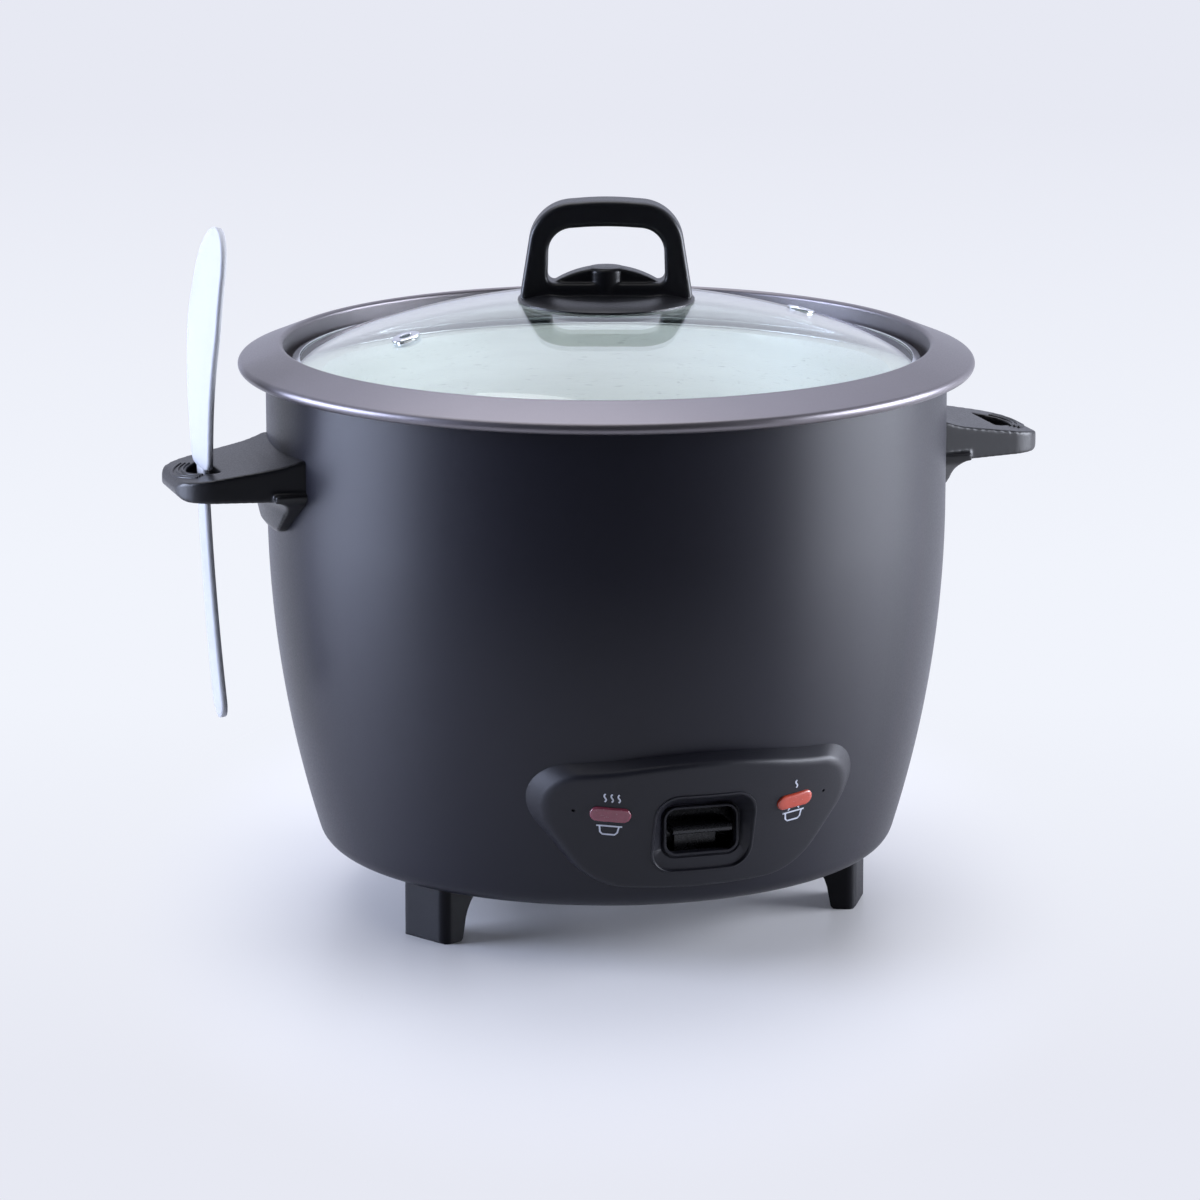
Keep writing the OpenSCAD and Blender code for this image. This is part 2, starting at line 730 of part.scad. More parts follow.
// Steel strap from the knob to the fork under the magnet's collar
module lever_arm() color(STEEL) {
    difference() {
        union() {
            translate([-6, -106, arm_z]) cube([12, 112, arm_t]);
            for (x = [-1, 1]) translate([x * 5.4 - 0.6, -pivot_y - 6, arm_z])
                cube([1.2, 12, pivot_z + 4 - arm_z]);
        }
        translate([0, 0, arm_z - 1]) linear_extrude(4) {
            circle(r = 2.9, $fn = FINE);
            translate([-2.9, 0]) square([5.8, 12]);
        }
        pivot_frame() rotate([0, 90, 0])
            cylinder(r = pin_r + SLACK, h = 40, center = true, $fn = FINE);
    }
}

// Finger bar in the bezel, its shutter on a circle about the pivot, and the clamp on the strap
module lever_knob() color([0.22, 0.22, 0.24]) {
    bar_t = 3.2;
    difference() {
        union() {
            // bar with a rounded front edge
            translate([-11.5, -119, pivot_z - bar_t / 2]) cube([23, 12, bar_t]);
            translate([-11.5, -119, pivot_z]) rotate([0, 90, 0]) cylinder(d = bar_t, h = 23, $fn = 32);
            intersection() {
                pivot_frame() rotate([0, 90, 0]) translate([0, 0, -16])
                    difference() {
                        cylinder(r = shutter_r, h = 32, $fn = SMOOTH);
                        translate([0, 0, -1]) cylinder(r = shutter_r - 2, h = 34, $fn = SMOOTH);
                    }
                translate([-16, -125, pivot_z - 12]) cube([32, 30, 27.5]);
            }
            translate([-8, -111, arm_z - 2]) cube([16, 12, pivot_z - arm_z]);
        }
        translate([-6 - SLACK, -107, arm_z - SLACK]) cube([12 + 2 * SLACK, 20, arm_t + 2 * SLACK]);
    }
}

module contact_block() color([0.45, 0.28, 0.16]) {
    translate([-11, -93, foot_h + sheet_t]) cube([22, 13, 12]);
}

module contact_leaves() color(BRASS) {
    for (x = [-8, 3]) translate([x, -92, foot_h + sheet_t + 12]) {
        cube([5, 0.5, 6.4]);
        translate([0, 0, 6]) cube([5, 12, 0.4]);
        translate([2.5, 8, 6.4]) cylinder(r = 1.6, h = 1, $fn = FINE);
    }
}

// Leads: inlet to contacts, inlet to the element, contacts to the element
module wiring() color([0.75, 0.10, 0.10]) {
    r = 1.3;
    sweep(wire_path([[-7, 88.9, inlet_z - 2], [-7, 78, inlet_z - 2], [-36, 66, 50], [-60, 36, 36],
        [-54, -40, 33], [-38, -86, 31], [-11.1, -87, 31]]), r);
    sweep(wire_path([[7, 88.9, inlet_z - 2], [7, 78, inlet_z - 2], [38, 72, 54], [66, 46, 50],
        [84, 12, 56], [61.2, 10.42, 61.5]]), r);
    sweep(wire_path([[11.1, -87, 31], [36, -86, 32], [62, -50, 40], [84, -12, 56],
        [61.2, -10.42, 61.5]]), r);
}

// ---------- power inlet ----------

module power_inlet() color(BLACK_PLASTIC) {
    difference() {
        union() {
            // escutcheon on the shell
            difference() {
                translate([0, inlet_face, inlet_z]) rotate([90, 0, 0]) linear_extrude(22)
                    round_rect(52, 27, 5);
                drum(-SLACK, 230);
            }
            translate([0, inlet_face, inlet_z]) rotate([90, 0, 0]) linear_extrude(30)
                round_rect(29.4, 21.4, 3);
        }
        translate([0, inlet_face + 1, inlet_z]) rotate([90, 0, 0]) linear_extrude(22)
            round_rect(25, 17, 3);
        for (x = [-1, 1]) translate([x * 21, inlet_face - 25, inlet_z]) rotate([-90, 0, 0])
            cylinder(r = 1.35, h = 30, $fn = FINE);
        for (x = [-1, 0, 1]) translate([x * 7 - 1.05, inlet_face - 40, inlet_z - 2.05 + (x == 0 ? 2 : -2)])
            cube([2.1, 30, 4.1]);
    }
}

module inlet_pins() color(BRASS) {
    for (x = [-1, 0, 1]) translate([x * 7 - 1, inlet_face - 36, inlet_z - 2 + (x == 0 ? 2 : -2)])
        cube([2, 31, 4]);
}

module inlet_screws() color(STEEL) {
    for (x = [-1, 1]) translate([x * 21, inlet_face + 1.6, inlet_z]) rotate([-90, 0, 0])
        screw(1.3, 14, 3, 1.6);
}

// ---------- pot and lid ----------

module inner_pot() color(ALUMINIUM) {
    bend = 14;
    outside = concat([[0, pot_bottom]],
        arc(pot_r - bend, pot_bottom + bend, bend, -90, 0, 8), [[pot_r, flange_z + flange_t]],
        [[0, flange_z + flange_t]]);
    inside = concat([[0, pot_bottom + pot_t]],
        arc(pot_r - bend, pot_bottom + bend, bend - pot_t, -90, 0, 8),
        [[pot_r - pot_t, flange_z + 5], [0, flange_z + 5]]);
    rotate_extrude($fn = SMOOTH) difference() {
        union() {
            polygon(outside);
            translate([pot_r - 2, flange_z]) square([flange_r - pot_r + 2, flange_t]);
        }
        polygon(inside);
    }
}

module lid_glass() color([0.75, 0.85, 0.85, 0.4]) {
    edge = acos(glass_r / dome_r);
    inner = acos(glass_r / (dome_r - glass_t));
    difference() {
        rotate_extrude($fn = SMOOTH) polygon(concat(
            arc(0, dome_cz, dome_r, 90, edge, 14),
            arc(0, dome_cz, dome_r - glass_t, inner, 90, 14)));
        cylinder(r = 3.4, h = 300, $fn = FINE);
        vent_places() translate([0, 0, -10]) cylinder(r = vent_hole_r, h = 20, $fn = FINE);
    }
}

module vent_places() {
    lean = asin(vent_ring_r / dome_r);
    for (a = [180, 0]) rotate([0, 0, a + vent_turn + lid_turn])
        translate([0, 0, dome_cz]) rotate([0, lean, 0])
        translate([0, 0, dome_r]) children();
}

// Height of the dome's upper surface at radius r
function dome_z(r) = dome_cz + sqrt(dome_r * dome_r - r * r);

// Folded steel rim that wraps the edge of the glass
module lid_hoop() color(STEEL) {
    lip = 3.2;
    inner_r = glass_r - lip + 0.8;
    outer_r = glass_r + SLACK;
    rotate_extrude($fn = SMOOTH) polygon([
        [glass_r - lip, hoop_z], [outer_r + hoop_t, hoop_z],
        [outer_r + hoop_t, dome_z(glass_r) + SLACK + hoop_t],
        [inner_r, dome_z(inner_r) + SLACK + hoop_t], [inner_r, dome_z(inner_r) + SLACK],
        [outer_r, dome_z(glass_r) + SLACK],
        [outer_r, hoop_z + hoop_t], [glass_r - lip, hoop_z + hoop_t]]);
}

module vent_eyelets() color(STEEL) {
    vent_places() {
        difference() {
            union() {
                translate([0, 0, -glass_t - 0.6])
                    cylinder(r = vent_hole_r - SLACK, h = glass_t + 1.2, $fn = FINE);
                translate([0, 0, 0.15]) cylinder(r1 = 5.6, r2 = 4.9, h = 0.8, $fn = FINE);
                translate([0, 0, -glass_t - 0.9]) cylinder(r = 5.4, h = 0.7, $fn = FINE);
            }
            translate([0, 0, -10]) cylinder(r = 2.4, h = 20, $fn = FINE);
        }
    }
}

module lid_gasket() color([0.8, 0.8, 0.8]) {
    rotate_extrude($fn = FINE) polygon([
        [3.4, gasket_top], [3.4, dome_z(3.4) + SLACK],
        [gasket_r, dome_z(gasket_r) + SLACK], [gasket_r, gasket_top]]);
}

// Bridge outline in the handle's plane
module bridge_outer() {
    hull() {
        for (x = [-1, 1]) {
            translate([x * 12.6, bridge_top - 17.9]) circle(r = 17.2, $fn = 64);
            translate([x * 32.5 - 0.5, disc_z]) square([1, 2]);
        }
        polygon(arc(0, bridge_top - 113, 113, 83, 97, 6));
    }
}

module bridge_hole() {
    hull() {
        for (x = [-1, 1]) {
            translate([x * 12.9, bridge_top - 20]) circle(r = 9.3, $fn = 48);
            translate([x * 20, disc_z + 9.4]) circle(r = 2.5, $fn = 32);
        }
        polygon(arc(0, bridge_top - 10.1 - 139, 139, 84, 96, 6));
    }
}

// Saddle between the legs, highest over the screw
module saddle() {
    rise_r = 38;
    intersection() {
        translate([0, saddle_top - rise_r]) circle(r = rise_r, $fn = 128);
        translate([-24, disc_z]) square([48, 20]);
    }
}

// One moulding: dished base disc, bridge, saddle and screw boss
module lid_handle() color(BLACK_PLASTIC) {
    depth = 14;
    rotate([0, 0, lid_turn]) difference() {
        union() {
            rotate_extrude($fn = SMOOTH) translate([0, disc_z]) polygon([
                [0, -3], [disc_r - 1, -0.9], [disc_r, -0.6], [disc_r, 0.1], [disc_r - 2, 0.9],
                [disc_r - 6, 1.8], [disc_r - 9.5, 2.35], [disc_r - 11, 2.4], [disc_r - 12.5, 2.2],
                [disc_r - 16, 1.9], [12, 2.1], [0, 2.3]]);
            rotate([90, 0, 0]) translate([0, 0, -depth / 2]) linear_extrude(depth) difference() {
                bridge_outer();
                bridge_hole();
            }
            rotate([90, 0, 0]) translate([0, 0, -5]) linear_extrude(10) saddle();
            translate([0, 0, disc_z]) cylinder(r = 7.4, h = saddle_top - disc_z, $fn = FINE);
        }
        translate([0, 0, dome_cz]) sphere(r = dome_r + 0.1, $fn = 240);
        translate([0, 0, glass_top - 5])
            cylinder(r = gasket_r + SLACK, h = gasket_top + SLACK + 5 - glass_top, $fn = FINE);
        translate([0, 0, glass_top - 5]) cylinder(r = 2.55, h = 12, $fn = FINE);
    }
}

module lid_washer() color(STEEL) {
    z = glass_top - glass_t - 1.4;
    translate([0, 0, z]) tube(11, 2.6, 1.2);
}

module lid_screw() color(STEEL) {
    translate([0, 0, glass_top - glass_t - 1.4 - 3]) mirror([0, 0, 1]) screw(2.5, 12, 5, 3);
}

// ---------- paddle ----------

module paddle_outline() {
    hull() {
        translate([0, 249.7]) circle(r = 20, $fn = 64);
        translate([0, 233]) circle(r = 22.5, $fn = 64);
    }
    hull() {
        translate([0, 233]) circle(r = 22.5, $fn = 64);
        for (y = [-1, 1]) translate([y * 9.6, 183.2]) circle(r = 4, $fn = 32);
    }
    hull() {
        translate([0, 178]) circle(r = 5.7, $fn = 48);
        translate([0, 88.4]) circle(r = 7.6, $fn = 48);
    }
}

// Position of the bent middle line at height z
function bend_at(z) = z < bend_z
    ? paddle_cx - sqrt(pow(paddle_arc_r, 2) - pow(z - paddle_cz, 2))
    : blade_cx - sqrt(pow(blade_arc_r, 2) - pow(z - blade_cz, 2));

// Outline laid along the bend
module rice_paddle() color([0.93, 0.95, 0.97]) {
    heights = [for (z = [75:5:275]) z];
    intersection() {
        rotate([90, 0, 90]) translate([0, 0, -paddle_x - 20]) linear_extrude(60) paddle_outline();
        rotate([90, 0, 0]) translate([0, 0, -30]) linear_extrude(60) polygon(concat(
            [for (z = heights) [bend_at(z) - paddle_t / 2, z]],
            [for (i = [len(heights) - 1:-1:0]) [bend_at(heights[i]) + paddle_t / 2, heights[i]]]));
    }
}

outer_shell();
top_ring();
inner_liner();
base_pan();
foot_left();
foot_right();
foot_rear();
foot_screws();
handle_left();
handle_right();
handle_screws();
control_panel();
panel_screws();
switch_bezel();
cook_lamp_lens();
warm_lamp_lens();
neon_lamps();
hot_plate();
heating_element();
plate_spacers();
plate_screws();
thermostat_cage();
sensor_cap();
sensor_barrel();
ferrite_ring();
sensor_spring();
plunger_rod();
plunger_magnet();
plunger_spring();
switch_bracket();
pivot_pin();
lever_knob();
lever_arm();
contact_block();
contact_leaves();
warming_band();
thermal_fuse();
wiring();
power_inlet();
inlet_pins();
inlet_screws();
inner_pot();
lid_glass();
lid_hoop();
vent_eyelets();
lid_gasket();
lid_handle();
lid_washer();
lid_screw();
rice_paddle();
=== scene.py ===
"""Looks of the rice cooker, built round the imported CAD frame. Metres. +Z is up and -Y is the front."""

import json
import math

import bmesh
import bpy
from mathutils import Matrix, Vector


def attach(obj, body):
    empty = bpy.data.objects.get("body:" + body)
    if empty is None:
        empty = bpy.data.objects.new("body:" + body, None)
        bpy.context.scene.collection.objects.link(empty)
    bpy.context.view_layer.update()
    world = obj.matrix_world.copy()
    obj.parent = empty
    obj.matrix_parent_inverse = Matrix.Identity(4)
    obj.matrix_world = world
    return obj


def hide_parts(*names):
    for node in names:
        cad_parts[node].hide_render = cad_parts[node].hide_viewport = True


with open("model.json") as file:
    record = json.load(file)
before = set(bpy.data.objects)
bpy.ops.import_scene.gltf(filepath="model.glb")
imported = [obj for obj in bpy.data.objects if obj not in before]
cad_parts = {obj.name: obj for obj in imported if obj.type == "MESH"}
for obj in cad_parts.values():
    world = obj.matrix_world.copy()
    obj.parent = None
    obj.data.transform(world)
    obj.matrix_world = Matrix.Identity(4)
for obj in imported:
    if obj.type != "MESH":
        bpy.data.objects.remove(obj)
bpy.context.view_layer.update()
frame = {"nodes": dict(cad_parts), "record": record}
NODES = frame["nodes"]
MM = 0.001
TAU = 2 * math.pi


# ---------- materials ----------


def srgb(r, g, b):
    """Linear colour from 0-255 sRGB numbers."""

    def linear(c):
        c /= 255
        return c / 12.92 if c <= 0.04045 else ((c + 0.055) / 1.055) ** 2.4

    return (linear(r), linear(g), linear(b), 1.0)


def shade(colour, by):
    """The colour made darker or lighter."""
    return tuple(min(1.0, c * by) for c in colour[:3]) + (1.0,)


def noise(nodes, links, scale, detail=3.0, stretch=(1, 1, 1)):
    """Noise texture in object space, stretched along the axes."""
    place = nodes.new("ShaderNodeTexCoord")
    mapping = nodes.new("ShaderNodeMapping")
    mapping.inputs["Scale"].default_value = stretch
    texture = nodes.new("ShaderNodeTexNoise")
    texture.inputs["Scale"].default_value = scale
    texture.inputs["Detail"].default_value = detail
    links.new(place.outputs["Object"], mapping.inputs["Vector"])
    links.new(mapping.outputs["Vector"], texture.inputs["Vector"])
    return texture.outputs["Fac"]


def remap(nodes, links, value, low, high, start=0.3, end=0.7, smooth=False):
    """Value from start to end, stretched to run from low to high and held outside."""
    node = nodes.new("ShaderNodeMapRange")
    node.interpolation_type = "SMOOTHSTEP" if smooth else "LINEAR"
    node.inputs["From Min"].default_value = start
    node.inputs["From Max"].default_value = end
    node.inputs["To Min"].default_value = low
    node.inputs["To Max"].default_value = high
    links.new(value, node.inputs["Value"])
    return node.outputs["Result"]


def calculate(nodes, links, operation, first, second):
    """Operation on two sockets; a difference is held between 0 and 1."""
    node = nodes.new("ShaderNodeMath")
    node.operation = operation
    node.use_clamp = operation == "SUBTRACT"
    links.new(first, node.inputs[0])
    links.new(second, node.inputs[1])
    return node.outputs[0]


def component(nodes, links, vector, direction):
    """How far a vector reaches along a direction."""
    node = nodes.new("ShaderNodeVectorMath")
    node.operation = "DOT_PRODUCT"
    node.inputs[1].default_value = direction
    links.new(vector, node.inputs[0])
    return node.outputs["Value"]


def blend(nodes, links, by, first, second):
    """Two shaders mixed: the first where by is 0, the second where it is 1."""
    node = nodes.new("ShaderNodeMixShader")
    links.new(by, node.inputs["Fac"])
    links.new(first, node.inputs[1])
    links.new(second, node.inputs[2])
    return node.outputs[0]


def material(
    name,
    colour,
    roughness=0.4,
    metallic=0.0,
    mottle=0.05,
    mottle_scale=30.0,
    grain=0.0,
    grain_scale=900.0,
    grain_depth=0.00002,
    rough_spread=0.06,
    stretch=(1, 1, 1),
    **constants,
):
    """Procedural surface: mottled colour, uneven roughness and a fine moulded or brushed grain."""
    made = bpy.data.materials.new(name)
    made.use_nodes = True
    nodes, links = made.node_tree.nodes, made.node_tree.links
    surface = nodes["Principled BSDF"]
    surface.inputs["Metallic"].default_value = metallic
    for key, value in constants.items():
        surface.inputs[key.replace("_", " ")].default_value = value
    broad = noise(nodes, links, mottle_scale, 4.0, stretch)
    mix = nodes.new("ShaderNodeMix")
    mix.data_type = "RGBA"
    mix.inputs["A"].default_value = shade(colour, 1 - mottle)
    mix.inputs["B"].default_value = shade(colour, 1 + mottle)
    links.new(remap(nodes, links, broad, 0, 1), mix.inputs["Factor"])
    links.new(mix.outputs["Result"], surface.inputs["Base Color"])
    fine = noise(nodes, links, grain_scale, 2.0, stretch)
    spread = remap(nodes, links, fine, roughness - rough_spread, roughness + rough_spread)
    links.new(spread, surface.inputs["Roughness"])
    if grain:
        bump = nodes.new("ShaderNodeBump")
        bump.inputs["Strength"].default_value = grain
        bump.inputs["Distance"].default_value = grain_depth
        links.new(fine, bump.inputs["Height"])
        links.new(bump.outputs["Normal"], surface.inputs["Normal"])
    return made


def clear_material(name, colour, roughness=0.0, ior=1.5, shadow=0.9):
    """Glass or clear plastic whose shadow lets the light through."""
    made = bpy.data.materials.new(name)
    made.use_nodes = True
    nodes, links = made.node_tree.nodes, made.node_tree.links
    surface = nodes["Principled BSDF"]
    surface.inputs["Transmission Weight"].default_value = 1.0
    surface.inputs["IOR"].default_value = ior
    tint = nodes.new("ShaderNodeMix")
    tint.data_type = "RGBA"
    tint.inputs["A"].default_value = colour
    tint.inputs["B"].default_value = shade(colour, 0.97)
    links.new(noise(nodes, links, 12.0), tint.inputs["Factor"])
    links.new(tint.outputs["Result"], surface.inputs["Base Color"])
    links.new(
        remap(nodes, links, noise(nodes, links, 60.0), roughness, roughness + 0.012),
        surface.inputs["Roughness"],
    )
    through = nodes.new("ShaderNodeBsdfTransparent")
    through.inputs["Color"].default_value = shade(colour, shadow)
    path = nodes.new("ShaderNodeLightPath")
    shadow_ray = path.outputs["Is Shadow Ray"]
    mixed = blend(nodes, links, shadow_ray, surface.outputs["BSDF"], through.outputs["BSDF"])
    links.new(mixed, nodes["Material Output"].inputs["Surface"])
    return made


MATERIALS = {
    "shell_paint": material(
        "shell_paint", srgb(20, 20, 30), 0.38, mottle=0.04, grain=0.25, grain_scale=1400,
        grain_depth=0.00003, rough_spread=0.04, Specular_IOR_Level=0.32,
    ),
    "ring_paint": material(
        "ring_paint", srgb(112, 108, 112), 0.36, metallic=0.75, mottle=0.03, grain=0.2,
        grain_scale=1800, rough_spread=0.04,
    ),
    "liner_steel": material(
        "liner_steel", srgb(190, 192, 196), 0.34, metallic=1.0, mottle=0.05, grain=0.15,
        grain_scale=220, stretch=(1, 1, 9),
    ),
    "pan_steel": material(
        "pan_steel", srgb(168, 170, 174), 0.4, metallic=1.0, mottle=0.09, mottle_scale=90,
        grain=0.15, grain_scale=420,
    ),
    "screw_steel": material(
        "screw_steel", srgb(186, 187, 188), 0.3, metallic=1.0, mottle=0.06, mottle_scale=300,
        grain=0.1,
    ),
    "black_plastic": material(
        "black_plastic", srgb(18, 18, 21), 0.36, mottle=0.06, grain=0.3, grain_scale=1600,
        grain_depth=0.00003, Specular_IOR_Level=0.38,
    ),
    "panel_plastic": material(
        "panel_plastic", srgb(21, 21, 28), 0.44, mottle=0.05, grain=0.3, grain_scale=1600,
        grain_depth=0.00003, Specular_IOR_Level=0.34,
    ),
    "foot_plastic": material(
        "foot_plastic", srgb(13, 13, 18), 0.42, mottle=0.06, grain=0.3, grain_scale=1600,
        grain_depth=0.00003, Specular_IOR_Level=0.16,
    ),
    "knob_plastic": material(
        "knob_plastic", srgb(16, 16, 18), 0.3, mottle=0.05, grain=0.2, grain_scale=1200,
    ),
    "cook_lens": material(
        "cook_lens", srgb(118, 50, 66), 0.22, mottle=0.07, mottle_scale=500, grain=0.2,
        grain_scale=900, Coat_Weight=0.6, Coat_Roughness=0.08,
    ),
    "warm_lens": material(
        "warm_lens", srgb(172, 62, 42), 0.22, mottle=0.07, mottle_scale=500, grain=0.2,
        grain_scale=900, Coat_Weight=0.6, Coat_Roughness=0.08,
    ),
    "cast_aluminium": material(
        "cast_aluminium", srgb(176, 177, 180), 0.38, metallic=1.0, mottle=0.07, grain=0.3,
        grain_scale=500,
    ),
    "element_steel": material(
        "element_steel", srgb(106, 102, 100), 0.45, metallic=1.0, mottle=0.2, mottle_scale=120,
    ),
    "ferrite": material("ferrite", srgb(62, 62, 66), 0.6, mottle=0.12, mottle_scale=400, grain=0.4),
    "phenolic": material(
        "phenolic", srgb(92, 54, 32), 0.4, mottle=0.12, mottle_scale=250, grain=0.2,
    ),
    "brass": material("brass", srgb(206, 172, 104), 0.28, metallic=1.0, mottle=0.06),
    "mica": material("mica", srgb(184, 162, 120), 0.5, mottle=0.18, mottle_scale=140, grain=0.3),
    "ceramic": material("ceramic", srgb(232, 231, 224), 0.25, mottle=0.03),
    "wire_sleeve": material("wire_sleeve", srgb(176, 34, 30), 0.55, mottle=0.06, grain=0.2),
    "pot_aluminium": material(
        "pot_aluminium", srgb(224, 224, 220), 0.33, metallic=0.35, mottle=0.03, grain=0.12,
        grain_scale=260, stretch=(1, 1, 10),
    ),
    "hoop_steel": material(
        "hoop_steel", srgb(214, 216, 220), 0.16, metallic=1.0, mottle=0.03, mottle_scale=60,
        grain=0.08, grain_scale=300, stretch=(1, 1, 12), rough_spread=0.04,
    ),
    "silicone": material("silicone", srgb(216, 218, 220), 0.6, mottle=0.03, grain=0.2),
    "paddle_plastic": material(
        "paddle_plastic", srgb(177, 179, 183), 0.45, mottle=0.015, mottle_scale=60, grain=0.2,
        grain_scale=1500, Specular_IOR_Level=0.25, Subsurface_Weight=0.2, Subsurface_Scale=0.002,
        Subsurface_Radius=(1.0, 1.0, 1.0),
    ),
    "eyelet_tube": material("eyelet_tube", srgb(196, 202, 206), 0.45, mottle=0.04),
    "lid_glass": clear_material("lid_glass", srgb(247, 253, 251)),
    "neon_glass": clear_material("neon_glass", srgb(255, 244, 232)),
    "marks": material("marks", srgb(188, 192, 204), 0.5, mottle=0.05, mottle_scale=400),
}


def paint_shade_below_height(made, low, high, by):
    """Painted shade: darkens the colour below low, back to full above high."""
    nodes, links = made.node_tree.nodes, made.node_tree.links
    surface = nodes["Principled BSDF"]
    colour = surface.inputs["Base Color"].links[0].from_socket
    place = nodes.new("ShaderNodeTexCoord")
    split = nodes.new("ShaderNodeSeparateXYZ")
    links.new(place.outputs["Object"], split.inputs["Vector"])
    level = remap(nodes, links, split.outputs["Z"], by, 1.0, low, high)
    scale = nodes.new("ShaderNodeVectorMath")
    scale.operation = "SCALE"
    links.new(colour, scale.inputs[0])
    links.new(level, scale.inputs["Scale"])
    links.new(scale.outputs[0], surface.inputs["Base Color"])


# Painted shade on the paddle's lower shaft: its colour is darkened to 0.9 below 0.15 m height, back to full
# above 0.19 m.
paint_shade_below_height(MATERIALS["paddle_plastic"], 0.15, 0.19, 0.9)

slot_of = {s["node"]: s["material_slot"] for s in frame["record"]["subparts"]}
FEET = ("foot_left", "foot_right", "foot_rear")
for node, obj in NODES.items():
    obj.data.materials.clear()
    obj.data.materials.append(MATERIALS["foot_plastic" if node in FEET else slot_of[node]])


# ---------- shapes ----------


def new_mesh(name, points, faces):
    """Mesh object from points in millimetres, doubles merged and faces turned outwards."""
    mesh = bpy.data.meshes.new(name)
    mesh.from_pydata([Vector(p) * MM for p in points], [], faces)
    work = bmesh.new()
    work.from_mesh(mesh)
    bmesh.ops.remove_doubles(work, verts=work.verts, dist=1e-6)
    bmesh.ops.recalc_face_normals(work, faces=work.faces)
    work.to_mesh(mesh)
    work.free()
    obj = bpy.data.objects.new(name, mesh)
    bpy.context.collection.objects.link(obj)
    return obj


def dress(obj, slot, body, *stands_for, sharp=35):
    """Smooth shading with sharp creases, a material, and the body that the piece rides on."""
    mesh = obj.data
    mesh.polygons.foreach_set("use_smooth", [True] * len(mesh.polygons))
    mesh.set_sharp_from_angle(angle=math.radians(sharp))
    mesh.materials.clear()
    mesh.materials.append(MATERIALS[slot])
    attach(obj, body)
    if stands_for:
        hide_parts(*stands_for)
    return obj


def arc(cx, cy, r, a0, a1, n):
    """Points along an arc about (cx, cy), from angle a0 to angle a1 in degrees."""
    turns = [math.radians(a0 + (a1 - a0) * i / n) for i in range(n + 1)]
    return [(cx + r * math.cos(a), cy + r * math.sin(a)) for a in turns]


def eased(outline, radius, steps=3):
    """Closed outline with its corners rounded."""
    made, count = [], len(outline)
    for i, corner in enumerate(outline):
        p = Vector(corner)
        a, b = Vector(outline[i - 1]) - p, Vector(outline[(i + 1) % count]) - p
        if min(a.length, b.length) < 1e-6 or a.angle(b) > math.radians(160):
            made.append(tuple(p))
            continue
        cut = min(radius / math.tan(a.angle(b) / 2), 0.45 * a.length, 0.45 * b.length)
        start, end = p + a.normalized() * cut, p + b.normalized() * cut
        for k in range(steps + 1):
            t = k / steps
            made.append(tuple(start * (1 - t) ** 2 + p * (2 * t * (1 - t)) + end * t * t))
    return made


def hull(points):
    """Convex outline of 2D points, anticlockwise."""
    points = sorted(set((round(x, 6), round(y, 6)) for x, y in points))

    def half(run):
        chain = []
        for p in run:
            while len(chain) > 1:
                (ax, ay), (bx, by) = chain[-2:]
                if (bx - ax) * (p[1] - ay) - (by - ay) * (p[0] - ax) > 0:
                    break
                chain.pop()
            chain.append(p)
        return chain[:-1]

    return half(points) + half(points[::-1])


def resample(outline, count):
    """The closed outline as count points evenly spaced, starting furthest along +X."""
    first = max(range(len(outline)), key=lambda i: (round(outline[i][0], 3), outline[i][1]))
    loop = [Vector(p) for p in outline[first:] + outline[:first]]
    loop.append(loop[0].copy())
    ends = [0.0]
    for a, b in zip(loop, loop[1:]):
        ends.append(ends[-1] + (b - a).length)
    made, k = [], 0
    for i in range(count):
        at = ends[-1] * i / count
        while ends[k + 1] < at:
            k += 1
        t = (at - ends[k]) / max(ends[k + 1] - ends[k], 1e-9)
        made.append(tuple(loop[k].lerp(loop[k + 1], t)))
    return made


def inset(outline, by):
    """Anticlockwise outline moved inwards."""
    made, count = [], len(outline)
    for i in range(count):
        ahead = (Vector(outline[(i + 1) % count]) - Vector(outline[i - 1])).normalized()
        made.append((outline[i][0] - ahead.y * by, outline[i][1] + ahead.x * by))
    return made


def loft(name, loops, ring=False):
    """Closed loops of equal length joined in turn, capped at both ends or joined into a ring."""
    count = len(loops[0])
    points = [p for loop in loops for p in loop]
    faces = []
    for k in range(len(loops) - (0 if ring else 1)):
        a, b = k * count, (k + 1) % len(loops) * count
        for i in range(count):
            j = (i + 1) % count
            faces.append((a + i, a + j, b + j, b + i))
    if not ring:
        faces.append(tuple(range(count)))
        faces.append(tuple(range(len(points) - 1, len(points) - count - 1, -1)))
    return new_mesh(name, points, faces)


def lathe(name, section, steps=256):
    """Closed section of (radius, height) turned about Z."""
    loops = []
    for i in range(steps):
        c, s = math.cos(TAU * i / steps), math.sin(TAU * i / steps)
        loops.append([(r * c, r * s, z) for r, z in section])
    return loft(name, loops, ring=True)


def prism(name, outline, low, high, axis="z"):
    """Outline pushed along an axis: (x, y) along z, (x, z) along y, or (y, z) along x."""
    place = {
        "z": lambda a, b, h: (a, b, h),
        "y": lambda a, b, h: (a, h, b),
        "x": lambda a, b, h: (h, a, b),
    }[axis]
    return loft(name, [[place(a, b, h) for a, b in outline] for h in (low, high)])


def box(name, low, high):
    """Block between two opposite corners."""
    (x0, y0, z0), (x1, y1, z1) = low, high
    return prism(name, [(x0, y0), (x1, y0), (x1, y1), (x0, y1)], z0, z1)


def apply(obj):
    """Makes the modifiers' result the object's mesh."""
    graph = bpy.context.evaluated_depsgraph_get()
    mesh = bpy.data.meshes.new_from_object(obj.evaluated_get(graph))
    obj.modifiers.clear()
    obj.data = mesh
    return obj


def combine(obj, *others, how="DIFFERENCE"):
    """Boolean of obj with each of the others, which are used up."""
    for other in others:
        step = obj.modifiers.new("combine", "BOOLEAN")
        step.operation, step.solver, step.object = how, "EXACT", other
        apply(obj)
        bpy.data.objects.remove(other)
    return obj


